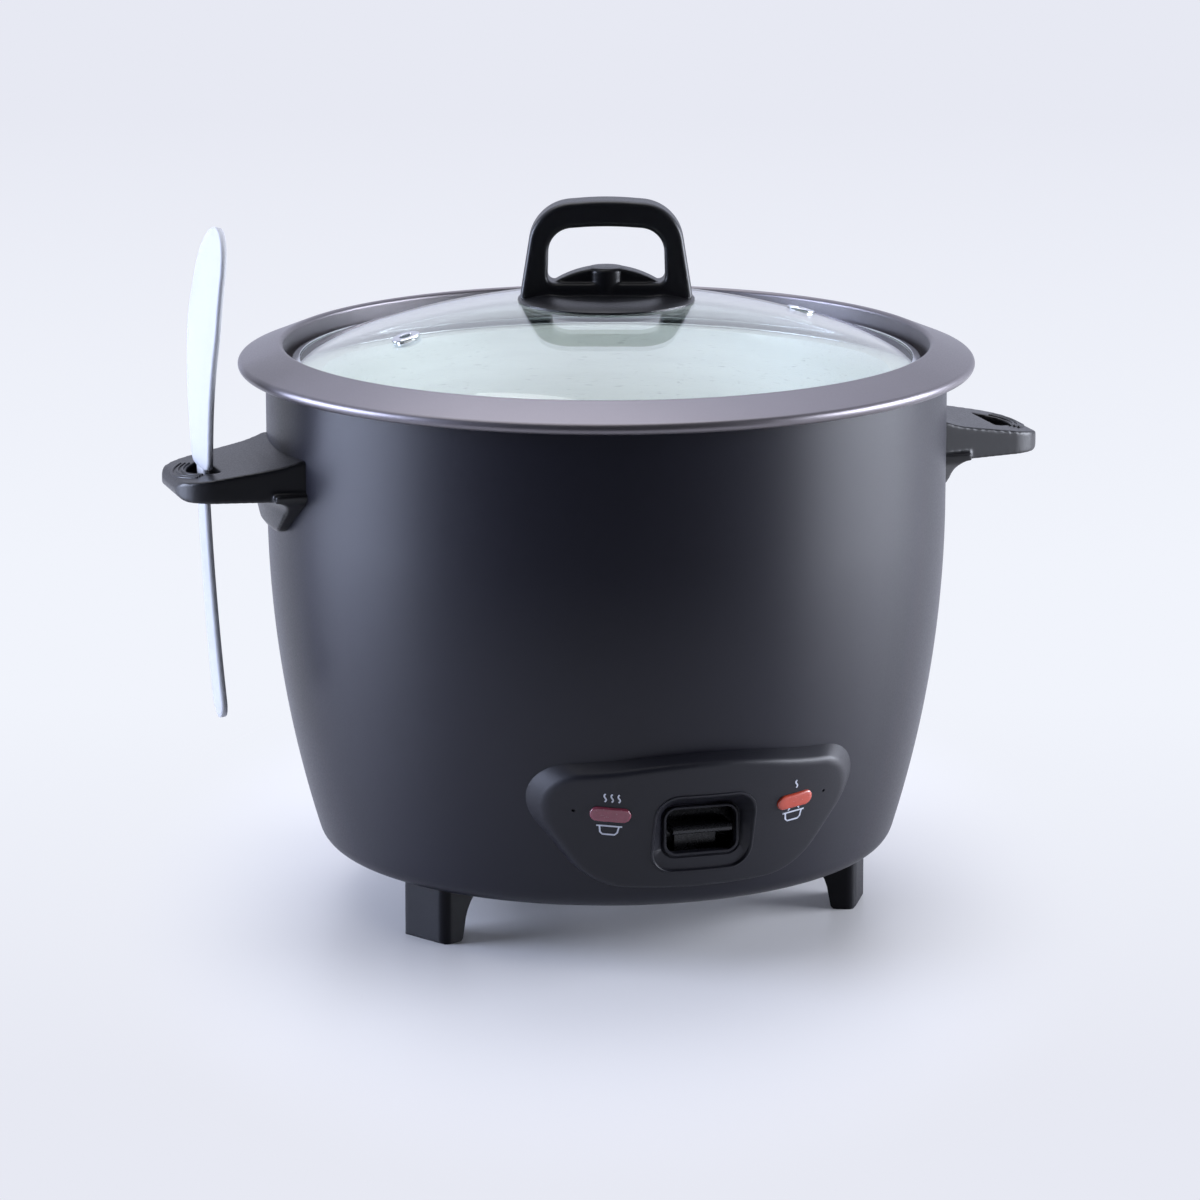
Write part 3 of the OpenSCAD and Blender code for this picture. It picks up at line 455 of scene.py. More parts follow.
def bevel(obj, width, segments=3, angle=40):
    """Rounds the edges that are sharper than an angle."""
    step = obj.modifiers.new("bevel", "BEVEL")
    step.width, step.segments = width * MM, segments
    step.limit_method, step.angle_limit = "ANGLE", math.radians(angle)
    return obj


def soften(obj, voxel, rounds):
    """Melts a union of solids into one moulded form with small fillets."""
    step = obj.modifiers.new("voxels", "REMESH")
    step.mode, step.voxel_size = "VOXEL", voxel * MM
    step = obj.modifiers.new("soften", "SMOOTH")
    step.factor, step.iterations = 0.5, rounds
    return apply(obj)


def merge(name, objs):
    """One object from several, their meshes kept as they are."""
    work = bmesh.new()
    for obj in objs:
        work.from_mesh(obj.data)
        bpy.data.objects.remove(obj)
    mesh = bpy.data.meshes.new(name)
    work.to_mesh(mesh)
    work.free()
    made = bpy.data.objects.new(name, mesh)
    bpy.context.collection.objects.link(made)
    return made


def rounded_rect(w, h, r, per_corner=10, per_side=6):
    """Anticlockwise rounded rectangle, with points along its sides too."""
    made = []
    for k, (sx, sy) in enumerate([(1, 1), (-1, 1), (-1, -1), (1, -1)]):
        corner = arc(sx * (w / 2 - r), sy * (h / 2 - r), r, 90 * k, 90 * k + 90, per_corner)
        made += corner
        nx, ny = [(-1, 1), (-1, -1), (1, -1), (1, 1)][k]
        start = arc(nx * (w / 2 - r), ny * (h / 2 - r), r, 90 * k + 90, 90 * k + 180, 1)[0]
        made += [tuple(Vector(corner[-1]).lerp(Vector(start), i / per_side)) for i in range(1, per_side)]
    return made


def stadium(w, h, n=12):
    """Anticlockwise outline of a bar with round ends."""
    return arc((w - h) / 2, 0, h / 2, -90, 90, n) + arc((h - w) / 2, 0, h / 2, 90, 270, n)


# ---------- shell, ring and pot ----------

SHELL_R, SHELL_TOP, SHEET = 131.2, 208.9, 0.8
FOOT_H, TAPER_Z, TAPER_R, CORNER_R = 22.4, 157, 440, 10
SWEEP_X = SHELL_R - TAPER_R
CORNER_X = SWEEP_X + math.sqrt((TAPER_R - CORNER_R) ** 2 - (TAPER_Z - FOOT_H - CORNER_R) ** 2)
CORNER_A = -math.degrees(math.asin((TAPER_Z - FOOT_H - CORNER_R) / (TAPER_R - CORNER_R)))


def drum_points(inwards, top=SHELL_TOP):
    """Half section of the drum from its base to its top, pulled inwards."""
    return (
        arc(CORNER_X, FOOT_H + CORNER_R, CORNER_R - inwards, -90, CORNER_A, 14)
        + arc(SWEEP_X, TAPER_Z, TAPER_R - inwards, CORNER_A, 0, 40)[1:]
        + [(SHELL_R - inwards, (TAPER_Z + top) / 2), (SHELL_R - inwards, top)]
    )


def drum_solid(grow=0.05):
    """Solid drum that trims what sits against the shell."""
    return lathe("drum", [(0, FOOT_H - grow)] + drum_points(-grow, 230) + [(0, 230)])


def build_shell():
    """Sheet drum, open below, with windows for the lever, the lamps and the power inlet."""
    base_r = 95.5
    section = [(base_r, FOOT_H)] + drum_points(0)
    section += drum_points(SHEET)[::-1] + [(base_r, FOOT_H + SHEET)]
    shell = lathe("outer_shell_skin", section)
    combine(
        shell,
        box("lever_window", (-22, -135, 37), (22, -75, 72)),
        box("lamp_window", (-45, -135, 57), (45, -75, 69)),
        box("inlet_window", (-15, 100, 49), (15, 140, 71)),
    )
    dress(shell, "shell_paint", "housing", "outer_shell")


def build_ring():
    """Stamped ring: a ledge for the pot, a crest, a sloping face, a rolled bead and a hidden skirt."""
    lip_r, crest_z, well_r, ledge_z, sheet = 141.8, 219.2, 124.3, 204.8, 1.1
    crest_r, bead_r, hole_r, skirt_z = 1.6, 2.3, 113.2, 198
    hem_z = SHELL_TOP + 0.2
    crest, bead = (well_r + crest_r, crest_z - crest_r), (lip_r - bead_r, hem_z + bead_r)
    run, fall = bead[0] - crest[0], crest[1] - bead[1]
    slope = math.atan2(fall, run) - math.asin((bead_r - crest_r) / math.hypot(run, fall))
    lean = 90 - math.degrees(slope)
    skirt = SHELL_R - SHEET - 0.05
    face = [(hole_r, ledge_z - sheet), (hole_r, ledge_z), (well_r - 1, ledge_z)]
    face += arc(well_r - 1, ledge_z + 1, 1, -90, 0, 5)[1:]
    face += arc(*crest, crest_r, 180, lean, 16) + arc(*bead, bead_r, lean, -90, 24)
    back = [(skirt, hem_z), (skirt, skirt_z), (skirt - sheet, skirt_z), (skirt - sheet, hem_z + sheet)]
    back += arc(*bead, bead_r - sheet, -90, lean, 12) + arc(*crest, crest_r - sheet, lean, 180, 10)
    back += [(well_r + sheet, ledge_z - sheet)]
    dress(lathe("top_ring_rim", face + back), "ring_paint", "housing", "top_ring", sharp=40)


# ---------- lid ----------

GLASS_R, GLASS_TOP, GLASS_T, VENT_R = 120.4, 236.3, 4, 4.2
HOOP_Z = 206.9
GLASS_RISE = GLASS_TOP - (HOOP_Z + 1.0) - GLASS_T
DOME_R = (GLASS_R**2 + GLASS_RISE**2) / (2 * GLASS_RISE)
DOME_Z = GLASS_TOP - DOME_R
DISC_R, DISC_Z, BRIDGE_TOP, SADDLE_TOP = 34, 235.2, 273.9, 247.8
LID_TURN = -17.3
VENT_TURN, VENT_OUT = 22, 82
VENTS = [(VENT_TURN + 180 + LID_TURN, VENT_OUT), (VENT_TURN + LID_TURN, VENT_OUT)]


def dome_z(r, lower=0):
    """Height of the glass at a radius, on its top or on a dome lower by some thickness."""
    return DOME_Z + math.sqrt((DOME_R - lower) ** 2 - r * r)


def vent_frame(turn, out):
    """Placement whose z axis leaves the dome at the vent."""
    lean = math.asin(out / DOME_R)
    return (
        Matrix.Translation((0, 0, DOME_Z))
        @ Matrix.Rotation(math.radians(turn), 4, "Z")
        @ Matrix.Rotation(lean, 4, "Y")
        @ Matrix.Translation((0, 0, DOME_R))
    )


def moved(points, matrix):
    return [tuple(matrix @ Vector(p)) for p in points]


def build_glass():
    """Dome of even thickness with a polished rim and holes for the vents and the handle's screw."""
    rings, hole_r = 72, 3.4
    upper = [(GLASS_R * i / rings, dome_z(GLASS_R * i / rings)) for i in range(rings + 1)]
    reach = GLASS_R - 0.4
    lower = [(reach * i / rings, dome_z(reach * i / rings, GLASS_T)) for i in range(rings + 1)]
    section = [(hole_r, dome_z(hole_r))] + upper[3:] + lower[:2:-1]
    glass = lathe("lid_dome", section + [(hole_r, dome_z(hole_r, GLASS_T))])
    for turn, out in VENTS:
        circle = arc(0, 0, VENT_R, 0, 345, 23)
        frame_at = vent_frame(turn, out)
        loops = [moved([(x, y, z) for x, y in circle], frame_at) for z in (-8, 3)]
        combine(glass, loft("vent_hole", loops))
    dress(glass, "lid_glass", "lid", "lid_glass", sharp=60)
    centre, normals = Vector((0, 0, DOME_Z * MM)), []
    for face in glass.data.polygons:
        for k in face.vertices:
            out = (glass.data.vertices[k].co - centre).normalized()
            side = out.dot(face.normal)
            normals.append(out * math.copysign(1, side) if abs(side) > 0.9 else face.normal)
    glass.data.normals_split_custom_set(normals)


def build_eyelets():
    """Flat steel washers on the glass, each round a tube with a flange below."""
    tops, tubes = [], []
    bore, under = 2.4, -GLASS_T - 0.2
    washer = eased([(bore, 0.1), (5.6, 0.1), (5.5, 0.55), (4.9, 0.9), (bore, 0.75)], 0.2)
    flanged = [(bore, 0.1), (bore, under - 0.7), (5.4, under - 0.7), (5.4, under), (3.1, under), (3.1, 0.1)]
    grow = Matrix.Diagonal((MM, MM, MM, 1))
    for turn, out in VENTS:
        at = vent_frame(turn, out)
        top, tube = lathe("top", washer, 48), lathe("tube", flanged, 48)
        for made in (top, tube):
            made.data.transform(grow @ at @ grow.inverted())
        tops.append(top)
        tubes.append(tube)
    dress(merge("vent_washers", tops), "hoop_steel", "lid", "vent_eyelets", sharp=50)
    dress(merge("vent_tubes", tubes), "eyelet_tube", "lid", sharp=50)


def build_hoop():
    """Folded steel rim round the edge of the glass."""
    lip, sheet, gap = 3.2, 0.6, 0.05
    inner, outer = GLASS_R - lip + 0.8, GLASS_R + gap
    edge_z, inner_z = dome_z(GLASS_R) + gap, dome_z(inner) + gap
    outside = [(GLASS_R - lip, HOOP_Z), (outer + sheet, HOOP_Z), (outer + sheet, edge_z + sheet)]
    outside += [(inner, inner_z + sheet), (inner, inner_z)]
    inside = [(outer, edge_z), (outer, HOOP_Z + sheet), (GLASS_R - lip, HOOP_Z + sheet)]
    section = eased(outside + inside, 0.45, 4)
    dress(lathe("lid_rim_hoop", section), "hoop_steel", "lid", "lid_hoop", sharp=50)


def build_lid_handle():
    """One moulding: dished disc with a thin rim, bridge with rolled edges, saddle and screw boss."""
    ends = [(33, DISC_Z), (33, DISC_Z + 2), (-33, DISC_Z), (-33, DISC_Z + 2)]
    outline = hull(
        arc(12.6, BRIDGE_TOP - 17.9, 17.2, 0, 90, 20)
        + arc(-12.6, BRIDGE_TOP - 17.9, 17.2, 90, 180, 20)
        + arc(0, BRIDGE_TOP - 113, 113, 83, 97, 10)
        + ends
    )
    gap = arc(0, BRIDGE_TOP - 149.1, 139, 84, 96, 8)
    for x in (-1, 1):
        gap += arc(x * 12.9, BRIDGE_TOP - 20, 9.3, 0, 360, 48)
        gap += arc(x * 20, DISC_Z + 9.4, 2.5, 0, 360, 24)
    bridge = prism("bridge", outline, -7, 7, "y")
    combine(bridge, prism("gap", hull(gap), -20, 20, "y"))
    apply(bevel(bridge, 2.8, 5, 50))
    hump = arc(0, SADDLE_TOP - 38, 38, 51, 129, 40)
    saddle = prism("saddle", [(24, DISC_Z)] + hump + [(-24, DISC_Z)], -5, 5, "y")
    apply(bevel(saddle, 1.4, 3, 50))
    boss_r = 7.4
    post = [(0, DISC_Z), (boss_r, DISC_Z), (boss_r, SADDLE_TOP - 1.2), (boss_r - 1, SADDLE_TOP - 0.2)]
    boss = lathe("boss", post + [(0, SADDLE_TOP)], 64)
    top = [(34, 0.1), (32, 0.9), (28, 1.8), (24.5, 2.35), (23, 2.4), (21.5, 2.2), (18, 1.9), (12, 2.1)]
    sunk = [(r - 1, DISC_Z + z - 0.35) for r, z in top]
    core = lathe("core", [(0, DISC_Z - 4), (33, DISC_Z - 4)] + sunk + [(0, DISC_Z + 1.9)], 160)
    combine(bridge, saddle, boss, core, how="UNION")
    soften(bridge, 0.5, 5)
    below = [(r, dome_z(r) + 0.1) for r in (40, 34, 28, 22, 16, 10, 5, 0)]
    combine(bridge, lathe("dome_below", [(0, 180), (40, 180)] + below, 160))
    washer_r, washer_top, screw_r, screw_top = 6.05, GLASS_TOP + 0.95, 2.55, 243.3
    recess = [(0, 230), (washer_r, 230), (washer_r, washer_top)]
    recess += [(screw_r, washer_top), (screw_r, screw_top), (0, screw_top)]
    combine(bridge, lathe("recess", recess, 64))
    under = [(r, dome_z(r) + 0.1) for r in (6.1, 10, 16, 22, 28, 34)]
    disc = lathe("disc", under + [(r, DISC_Z + z) for r, z in top] + [(6.1, DISC_Z + 2.2)], 192)
    bridge = merge("lid_bridge_handle", [bridge, disc])
    bridge.data.transform(Matrix.Rotation(math.radians(LID_TURN), 4, "Z"))
    dress(bridge, "black_plastic", "lid", "lid_handle", sharp=50)


# ---------- side handles ----------

REACH, GRIP_Z, ROOT_W = 173.4, 169.1, 31
SLOT_IN, SLOT_OUT, SLOT_CHORD = 156, 166, 13.6
SLOT_R = (SLOT_CHORD**2 + (SLOT_OUT - SLOT_IN) ** 2) / (2 * (SLOT_OUT - SLOT_IN))
SLOT_X = SLOT_OUT - SLOT_R


def build_side_handle(name, stands_for, side):
    """Grip with a slot and ribs round its nose, on a bracket that hugs the shell."""
    tip_r, tip_y = 16, 9
    plan = hull(
        arc(REACH - tip_r, tip_y, tip_r, 0, 90, 24)
        + arc(REACH - tip_r, -tip_y, tip_r, -90, 0, 24)
        + [(118, ROOT_W), (126, ROOT_W), (118, -ROOT_W), (126, -ROOT_W)]
    )
    nose = 3.8
    profile = [(118, GRIP_Z), (REACH - nose, GRIP_Z)]
    profile += arc(REACH - nose, GRIP_Z + nose, nose, -90, 82, 12)
    profile += [(150, GRIP_Z + 10.9), (142, GRIP_Z + 12.2), (137, GRIP_Z + 13.1), (133, GRIP_Z + 14.2)]
    profile += [(129, GRIP_Z + 15.6), (118, GRIP_Z + 15.6)]
    grip = prism("grip", plan, GRIP_Z - 5, GRIP_Z + 25)
    combine(grip, prism("profile", profile, -40, 40, "y"), how="INTERSECT")
    apply(bevel(grip, 1.8, 4, 50))

    fillet, low, face_x = 6.5, 153.5, SHELL_R + 5
    wall = [(120, low), (SHELL_R + 2.6, low), (SHELL_R + 4, low + 2), (face_x, GRIP_Z - fillet)]
    wall += arc(face_x + fillet, GRIP_Z - fillet, fillet, 180, 90, 8)
    wall += [(face_x + fillet, GRIP_Z + 3), (120, GRIP_Z + 3)]
    spread, steps = 18, 48
    turns = [math.radians(spread * (2 * i / steps - 1)) for i in range(steps + 1)]
    bracket = loft("bracket", [[(r * math.cos(a), r * math.sin(a), z) for r, z in wall] for a in turns])
    face = hull(
        arc(7, 165.5, 12, 0, 360, 48)
        + arc(-7, 165.5, 12, 0, 360, 48)
        + arc(ROOT_W - 5, GRIP_Z + 3, 6, 0, 360, 32)
        + arc(5 - ROOT_W, GRIP_Z + 3, 6, 0, 360, 32)
    )
    combine(bracket, prism("bracket_face", face, 110, 150, "x"), how="INTERSECT")
    combine(grip, bracket, how="UNION")

    half = math.degrees(math.asin(SLOT_CHORD / SLOT_R))
    slot = [(SLOT_IN, -SLOT_CHORD)] + arc(SLOT_X, 0, SLOT_R, -half, half, 24)
    combine(grip, prism("slot", slot, GRIP_Z - 10, GRIP_Z + 30))
    soften(grip, 0.6, 5)
    combine(grip, drum_solid())

    ribs = []
    for i in range(3):
        r, bead = SLOT_R + 1.5 + 1.9 * i, 0.65
        path = []
        for k in range(33):
            a = math.radians(-46 + 92 * k / 32)
            x = SLOT_X + r * math.cos(a)
            top = GRIP_Z + 10.9 - (x - 150) * 3.3 / 19.6
            fall = max(0.0, x - (REACH - nose)) ** 2 / 7
            path.append((x, r * math.sin(a), top - 0.35 - fall, math.cos(a), math.sin(a)))
        loops = [
            [(x + bead * math.cos(t) * ca, y + bead * math.cos(t) * sa, z + 1.0 * math.sin(t)) for t in
             (TAU * j / 12 for j in range(12))]
            for x, y, z, ca, sa in path
        ]
        ribs.append(loft("rib", loops))
    grip = merge(name, [grip] + ribs)
    if side < 0:
        grip.data.transform(Matrix.Scale(-1, 4, (1, 0, 0)))
        grip.data.flip_normals()
    dress(grip, "black_plastic", "housing", stands_for, sharp=50)


# ---------- control panel ----------

PANEL_Y, PANEL_Z, FACE_R = 124.5, 58, 125
LEAN = math.radians(18)
LAMP_X, LAMP_V = 36, 4.1
FACE, FLARE = (43.2, 15.6, 27, 25, 26.6), (51.5, 21, 35, 30, 27.6)
SHOULDER_V, BASE_V, CROWN_R = 3.6, -3, 120
BEZEL_Z, BEZEL_BACK = 54.4, -115.2


def on_panel(u, v, w):
    """Flat frame of the panel: u across, v up its face, w outwards."""
    s, c = math.sin(LEAN), math.cos(LEAN)
    return (u, -PANEL_Y - v * s - w * c, PANEL_Z + v * c - w * s)


def on_face(u, v, w=0.0, along=0.0):
    """Point at u, v on the panel's curved face, moved along the curve, w out from it."""
    a = math.asin(u / FACE_R) + along / FACE_R
    return on_panel((FACE_R + w) * math.sin(a), v, (FACE_R + w) * math.cos(a) - FACE_R)


def face_y(x, z, w=0.0):
    """Depth at which the face, moved out by w, passes x and z."""
    out = math.sqrt((FACE_R + w) ** 2 - x * x) - FACE_R
    return -PANEL_Y - (out + math.sin(LEAN) * (z - PANEL_Z)) / math.cos(LEAN)


def panel_outline(shape, wall, count=180):
    """Crowned top, two shoulders and two wider corners below, pulled in by wall."""
    shoulder_x, shoulder_r, base_x, base_r, crown = shape
    points = arc(0, crown - wall - CROWN_R, CROWN_R, 74, 106, 24)
    for x in (-1, 1):
        points += arc(x * shoulder_x, SHOULDER_V, shoulder_r - wall, 0, 360, 72)
        points += arc(x * base_x, BASE_V, base_r - wall, 0, 360, 96)
    return resample(hull(points), count)


def panel_solid(name, wall, fillet, back):
    """Curved face, a rounded edge, and sides that flare back to the shell."""
    edge = panel_outline(FACE, wall)
    foot = panel_outline(FLARE, wall)
    loops = []
    for k in (0.03, 0.2, 0.4, 0.6, 0.8, 0.93):
        loops.append([on_face(u * k, 5 + (v - 5) * k, -wall) for u, v in inset(edge, fillet)])
    starts = [on_face(u, v, -wall) for u, v in inset(edge, fillet)] if fillet else []
    corners = [on_face(u, v, -wall) for u, v in edge]
    ends = [on_panel(u, v, back) for u, v in foot]
    if fillet:
        rims = []
        for a, b in zip(corners, ends):
            a, b = Vector(a), Vector(b)
            rims.append(tuple(a + (b - a).normalized() * fillet))
        for k in range(6):
            t = k / 5
            loops.append([
                tuple(Vector(a) * (1 - t) ** 2 + Vector(p) * (2 * t * (1 - t)) + Vector(b) * t * t)
                for a, p, b in zip(starts, corners, rims)
            ])
        corners = rims
    else:
        loops.append(corners)
    for t in (0.25, 0.5, 0.75, 1.0):
        loops.append([tuple(Vector(a).lerp(Vector(b), t)) for a, b in zip(corners, ends)])
    return loft(name, loops)


def face_prism(name, outline, u, v, low, high):
    """Outline at u, v on the panel's face, pushed square to the face."""
    return loft(name, [[on_face(u, v + y, w, x) for x, y in outline] for w in (low, high)])


def build_panel():
    """Hollow moulding cut to the drum, open for the bezel and the lamps, with a dimple by each lamp."""
    wall, rounding = 2.4, 2.4
    panel = panel_solid("control_panel_moulding", 0, rounding, -36)
    combine(panel, panel_solid("cavity", wall, 0, -38))
    combine(panel, drum_solid())
    opening = [(x, z + BEZEL_Z) for x, z in rounded_rect(40.1, 32.1, 9)]
    combine(panel, prism("bezel_hole", opening, -160, -100, "y"))
    for x in (-LAMP_X, LAMP_X):
        combine(panel, face_prism("lamp_hole", stadium(15.6, 6.2), x, LAMP_V, -6, 4))
    for x in (-49, 49):
        combine(panel, face_prism("dimple", arc(0, 0, 0.65, 0, 330, 11), x, LAMP_V, -0.9, 2))
    dress(panel, "panel_plastic", "housing", "control_panel", sharp=35)


def build_bezel():
    """Funnel round the lever with a raised lip at its throat."""

    def level(w, h, r, y):
        """Loop at one depth."""
        return [(x, y, z + BEZEL_Z) for x, z in rounded_rect(w, h, r)]

    def proud(w, h, r, out, up=0.0):
        """Loop that follows the panel's face, moved out and up."""
        heights = [(x, z + BEZEL_Z + up) for x, z in rounded_rect(w, h, r)]
        return [(x, face_y(x, z, out), z) for x, z in heights]

    loops = [
        level(40, 32, 9, BEZEL_BACK),
        proud(40, 32, 9, 0.0),
        proud(39.8, 31.8, 8.9, 0.35),
        proud(39.2, 31.2, 8.7, 0.45),
        proud(38.6, 30.6, 8.4, 0.35, -0.1),
        proud(38.0, 30.0, 8.2, -0.1, -0.2),
        proud(37.4, 29.4, 8.0, -0.8, -0.2),
        level(31.4, 20.9, 5.6, -118.1),
        level(30.9, 20.3, 5.4, -117.7),
        level(29.9, 19.3, 4.9, -117.6),
        level(29.6, 19.0, 4.8, -117.9),
        level(29.5, 18.9, 4.8, -118.5),
        level(29.2, 18.6, 4.7, -118.8),
        level(28.6, 18.0, 4.4, -118.9),
        level(27.5, 16.9, 3.9, -118.8),
        level(27.1, 16.5, 3.7, -118.4),
        level(27, 16.4, 3.6, -117.6),
        level(27, 16.4, 3.6, BEZEL_BACK),
    ]
    bezel = loft("switch_bezel_funnel", loops, ring=True)
    dress(bezel, "panel_plastic", "housing", "switch_bezel", sharp=50)


def build_lens(name, slot, stands_for, u):
    """Flanged lens with a softly crowned top."""
    steps = [
        (17.9, 8.5, -4.05), (17.9, 8.5, -2.95), (15.5, 6.1, -2.95), (15.5, 6.1, 0.15), (15.4, 6.0, 0.4),
        (15.0, 5.6, 0.65), (14.3, 5.0, 0.8), (12.5, 3.5, 0.88), (10.6, 1.8, 0.9),
    ]
    loops = [[on_face(u, LAMP_V + y, w, x) for x, y in stadium(a, b)] for a, b, w in steps]
    dress(loft(name, loops), slot, "housing", stands_for, sharp=45)


def stroke(path, width, u, v, up=0.06):
    """Printed line of even width on the panel's face."""
    loops = []
    for i, p in enumerate(path):
        a, b = Vector(path[max(i - 1, 0)]), Vector(path[min(i + 1, len(path) - 1)])
        ahead = (b - a).normalized() * width / 2
        left, right = (p[0] - ahead.y, p[1] + ahead.x), (p[0] + ahead.y, p[1] - ahead.x)
        loops.append([
            on_face(u, v + left[1], up, left[0]), on_face(u, v + right[1], up, right[0]),
            on_face(u, v + right[1], -0.1, right[0]), on_face(u, v + left[1], -0.1, left[0]),
        ])
    return loft("stroke", loops)


def wave(x, y, length, swing, n=16):
    """Rising curl of heat."""
    return [(x + swing * math.sin(TAU * i / n), y + length * i / n) for i in range(n + 1)]


def build_marks():
    """Plain pictograms beside the lamps: a pot with steam for cooking, a pot kept warm."""
    marks = []
    for u, steam in ((-LAMP_X, 3), (LAMP_X, 1)):
        top, low = LAMP_V + 5.4, LAMP_V - 8.6
        for i in range(steam):
            marks.append(stroke(wave((i - (steam - 1) / 2) * 2.6, 0, 3.4, 0.45), 0.55, u, top))
        bowl = [(-3.6, 3.4), (-3.2, 0.9), (-2.3, 0), (2.3, 0), (3.2, 0.9), (3.6, 3.4)]
        marks.append(stroke(bowl, 0.6, u, low))
        marks.append(stroke([(-4.8, 3.6), (4.8, 3.6)], 0.6, u, low))
        if steam == 1:
            marks.append(stroke(arc(0, 3.6, 2.6, 20, 160, 10), 0.55, u, low))
    dress(merge("panel_marks", marks), "marks", "housing", sharp=40)


# ---------- paddle ----------

PADDLE_T, PADDLE_X, PADDLE_Z, BEND_Z = 2.6, 160.4, 215, 195
SHAFT_ARC, BLADE_ARC = 1400, 320


def bend(z):
    """Middle line of the paddle at height z: its x, and the angle that it leans."""
    at, level, r = SHAFT_ARC - PADDLE_X, PADDLE_Z, SHAFT_ARC
    if z > BEND_Z:
        turn = math.asin((BEND_Z - PADDLE_Z) / SHAFT_ARC)
        at -= (SHAFT_ARC - BLADE_ARC) * math.cos(turn)
        level, r = BEND_Z - BLADE_ARC * math.sin(turn), BLADE_ARC
    lean = math.asin((z - level) / r)
    return at - r * math.cos(lean), lean


def build_paddle():
    """Bent paddle with rounded edges: a broad blade, shoulders over the slot and a slim shaft."""
    tip, waist, shoulder = (0, 249.7, 20), (0, 233, 22.5), (9.6, 183.2, 4)
    neck, end = (0, 178, 5.7), (0, 88.4, 7.6)
    parts = [(tip, waist), (waist, shoulder), (neck, end)]

    def half_width(z):
        """Half width of the outline, from its circles and the tangents between them."""
        best = 0.0
        for (y0, z0, r0), (y1, z1, r1) in parts:
            for k in range(61):
                t = k / 60
                y, at, r = y0 + (y1 - y0) * t, z0 + (z1 - z0) * t, r0 + (r1 - r0) * t
                if abs(z - at) < r:
                    best = max(best, y + math.sqrt(r * r - (z - at) ** 2))
        return best

    heights = [80.8 + 7.6 * (1 - math.cos(math.pi / 2 * i / 10)) for i in range(1, 10)]
    heights += [88.4 + (178.8 - 88.4) * i / 24 for i in range(25)]
    heights += [179.3, 179.7, 180.3, 181.2, 182.4, 184] + [184 + 65.7 * i / 24 for i in range(1, 25)]
    heights += [269.7 - 20 * (1 - math.sin(math.pi / 2 * i / 16)) for i in range(1, 16)]
    loops = []
    for z in heights:
        w, (x, lean) = half_width(z), bend(z)
        edge = min(PADDLE_T / 2, w * 0.6)
        ring = []
        for side, start in ((1, -90), (-1, 90)):
            for a, b in arc(0, 0, 1, start, start + 180, 8):
                ring.append((side * (w - edge) + a * edge, b * PADDLE_T / 2))
        loops.append([(x + t * math.cos(lean), y, z - t * math.sin(lean)) for y, t in ring])
    dress(loft("rice_paddle_blade", loops), "paddle_plastic", "paddle", "rice_paddle", sharp=60)


build_shell()
build_ring()
build_glass()
build_hoop()
build_eyelets()
build_lid_handle()
build_side_handle("handle_right_grip", "handle_right", 1)
build_side_handle("handle_left_grip", "handle_left", -1)
build_panel()
build_bezel()
build_lens("cook_lamp_window", "cook_lens", "cook_lamp_lens", -LAMP_X)
build_lens("warm_lamp_window", "warm_lens", "warm_lamp_lens", LAMP_X)
build_marks()
build_paddle()
for node in FEET:
    bevel(NODES[node], 0.7, 3, 35)
bevel(NODES["lever_knob"], 0.4, 3, 35)
bevel(NODES["power_inlet"], 0.6, 3, 35)


# ---------- studio ----------

CAMERA_TURN = math.radians(17.3)
CAMERA_OUT = 2.1036
CAMERA_UP = 0.597
CAMERA_DOWN = math.radians(12.877)
CAMERA_LENS = 166.3
CAMERA_SHIFT = -0.00525
BACKGROUND = srgb(231, 233, 243)
GLOW_AT = (0.162, 0.52, 0.839)


def build_world():
    """Pale background for the camera and for what shows through glass.

    Everything else is lit by a studio that is dark in front, pale behind, and glows high up behind.
    """
    world = bpy.data.worlds.new("studio")
    bpy.context.scene.world = world
    world.use_nodes = True
    nodes, links = world.node_tree.nodes, world.node_tree.links
    nodes.clear()
    out = nodes.new("ShaderNodeOutputWorld")
    seen = nodes.new("ShaderNodeBackground")
    seen.inputs["Color"].default_value = BACKGROUND
    lit = nodes.new("ShaderNodeBackground")
    lit.inputs["Color"].default_value = srgb(224, 228, 248)
    towards = nodes.new("ShaderNodeTexCoord").outputs["Generated"]
    back = component(nodes, links, towards, (0, 1, 0))
    level = remap(nodes, links, back, 0.02, 1.0, -0.6, 0.6, smooth=True)
    high = component(nodes, links, towards, GLOW_AT)
    glow = remap(nodes, links, high, 0, 1.4, 0.84, 1, smooth=True)
    links.new(calculate(nodes, links, "ADD", level, glow), lit.inputs["Strength"])
    path = nodes.new("ShaderNodeLightPath").outputs
    shows = calculate(nodes, links, "MAXIMUM", path["Is Camera Ray"], path["Is Transmission Ray"])
    links.new(blend(nodes, links, shows, lit.outputs[0], seen.outputs[0]), out.inputs["Surface"])


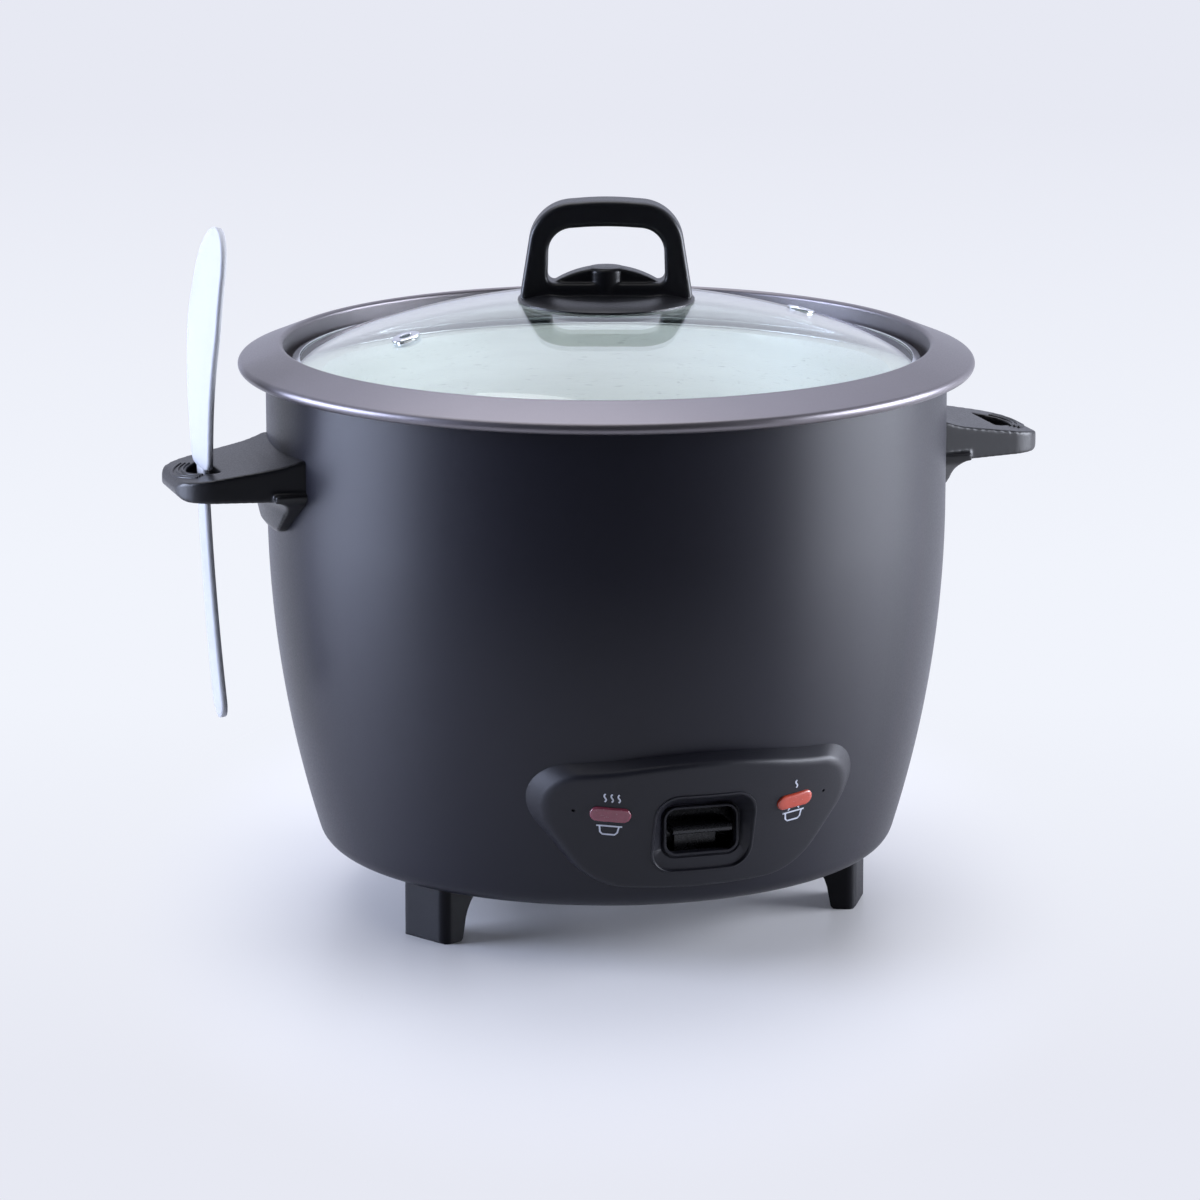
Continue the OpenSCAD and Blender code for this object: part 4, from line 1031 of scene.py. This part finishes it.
def build_floor():
    """Pale floor that keeps the shadow and soon fades into the background's tones.

    Only reflections see that it is dark far in front.
    """
    bpy.ops.mesh.primitive_grid_add(x_subdivisions=8, y_subdivisions=8, size=12)
    floor = bpy.context.object
    floor.name = "floor"
    made = bpy.data.materials.new("floor")
    made.use_nodes = True
    nodes, links = made.node_tree.nodes, made.node_tree.links
    surface = nodes["Principled BSDF"]
    surface.inputs["Base Color"].default_value = srgb(213, 212, 211)
    surface.inputs["Roughness"].default_value = 0.35
    surface.inputs["Specular IOR Level"].default_value = 0.25
    place = nodes.new("ShaderNodeTexCoord").outputs["Object"]
    forward = (math.sin(CAMERA_TURN), math.cos(CAMERA_TURN), 0)
    behind = component(nodes, links, place, forward)

    far = nodes.new("ShaderNodeEmission")
    rising = remap(nodes, links, behind, 0, 1, -0.25, 0.3)
    falling = remap(nodes, links, behind, 1, 0, 0.6, 2.2)
    tone = nodes.new("ShaderNodeMix")
    tone.data_type = "RGBA"
    tone.inputs["A"].default_value = BACKGROUND
    tone.inputs["B"].default_value = srgb(241, 244, 252)
    links.new(calculate(nodes, links, "MULTIPLY", rising, falling), tone.inputs["Factor"])
    links.new(tone.outputs["Result"], far.inputs["Color"])

    facing = nodes.new("ShaderNodeMapping")
    facing.vector_type = "TEXTURE"
    facing.inputs["Rotation"].default_value = (0, 0, -CAMERA_TURN)
    facing.inputs["Scale"].default_value = (0.75, 1.45, 1)
    links.new(place, facing.inputs["Vector"])
    length = nodes.new("ShaderNodeVectorMath")
    length.operation = "LENGTH"
    links.new(facing.outputs["Vector"], length.inputs[0])
    fade = remap(nodes, links, length.outputs["Value"], 0, 1, 0.11, 0.27, smooth=True)
    camera_ray = nodes.new("ShaderNodeLightPath").outputs["Is Camera Ray"]
    faded = calculate(nodes, links, "MULTIPLY", fade, camera_ray)
    pale = blend(nodes, links, faded, surface.outputs["BSDF"], far.outputs[0])

    dark = nodes.new("ShaderNodeBsdfDiffuse")
    dark.inputs["Color"].default_value = srgb(30, 30, 34)
    ahead = remap(nodes, links, behind, 1, 0, -0.8, -0.3)
    unseen = calculate(nodes, links, "SUBTRACT", ahead, camera_ray)
    shaded = blend(nodes, links, unseen, pale, dark.outputs[0])
    links.new(shaded, nodes["Material Output"].inputs["Surface"])
    floor.data.materials.append(made)


def softbox(name, at, aim, width, height, power, colour=(1, 1, 1)):
    """Rectangular lamp at a point, turned towards another."""
    data = bpy.data.lights.new(name, "AREA")
    data.shape = "RECTANGLE"
    data.size, data.size_y = width, height
    data.energy = power
    data.color = colour
    lamp = bpy.data.objects.new(name, data)
    bpy.context.collection.objects.link(lamp)
    lamp.location = at
    lamp.rotation_euler = (Vector(aim) - Vector(at)).to_track_quat("-Z", "Y").to_euler()


def build_camera():
    data = bpy.data.cameras.new("camera")
    data.sensor_width = 36
    data.lens = CAMERA_LENS
    data.shift_x = CAMERA_SHIFT
    data.clip_start = 0.05
    camera = bpy.data.objects.new("camera", data)
    bpy.context.collection.objects.link(camera)
    camera.location = (
        -CAMERA_OUT * math.sin(CAMERA_TURN),
        -CAMERA_OUT * math.cos(CAMERA_TURN),
        CAMERA_UP,
    )
    camera.rotation_euler = (math.radians(90) - CAMERA_DOWN, 0, -CAMERA_TURN)
    bpy.context.scene.camera = camera


build_world()
build_floor()
softbox("left_softbox", (-1.45, 0.38, 0.40), (0, 0, 0.14), 1.1, 0.74, 44, (0.67, 0.75, 1.0))
softbox("right_softbox", (1.43, -0.40, 0.40), (0, 0, 0.14), 1.25, 0.74, 48, (0.84, 0.88, 1.0))
softbox("top_softbox", (-0.2, 0.25, 1.9), (0, 0, 0.1), 1.8, 1.6, 16)
build_camera()
bpy.context.scene.view_settings.view_transform = "Standard"
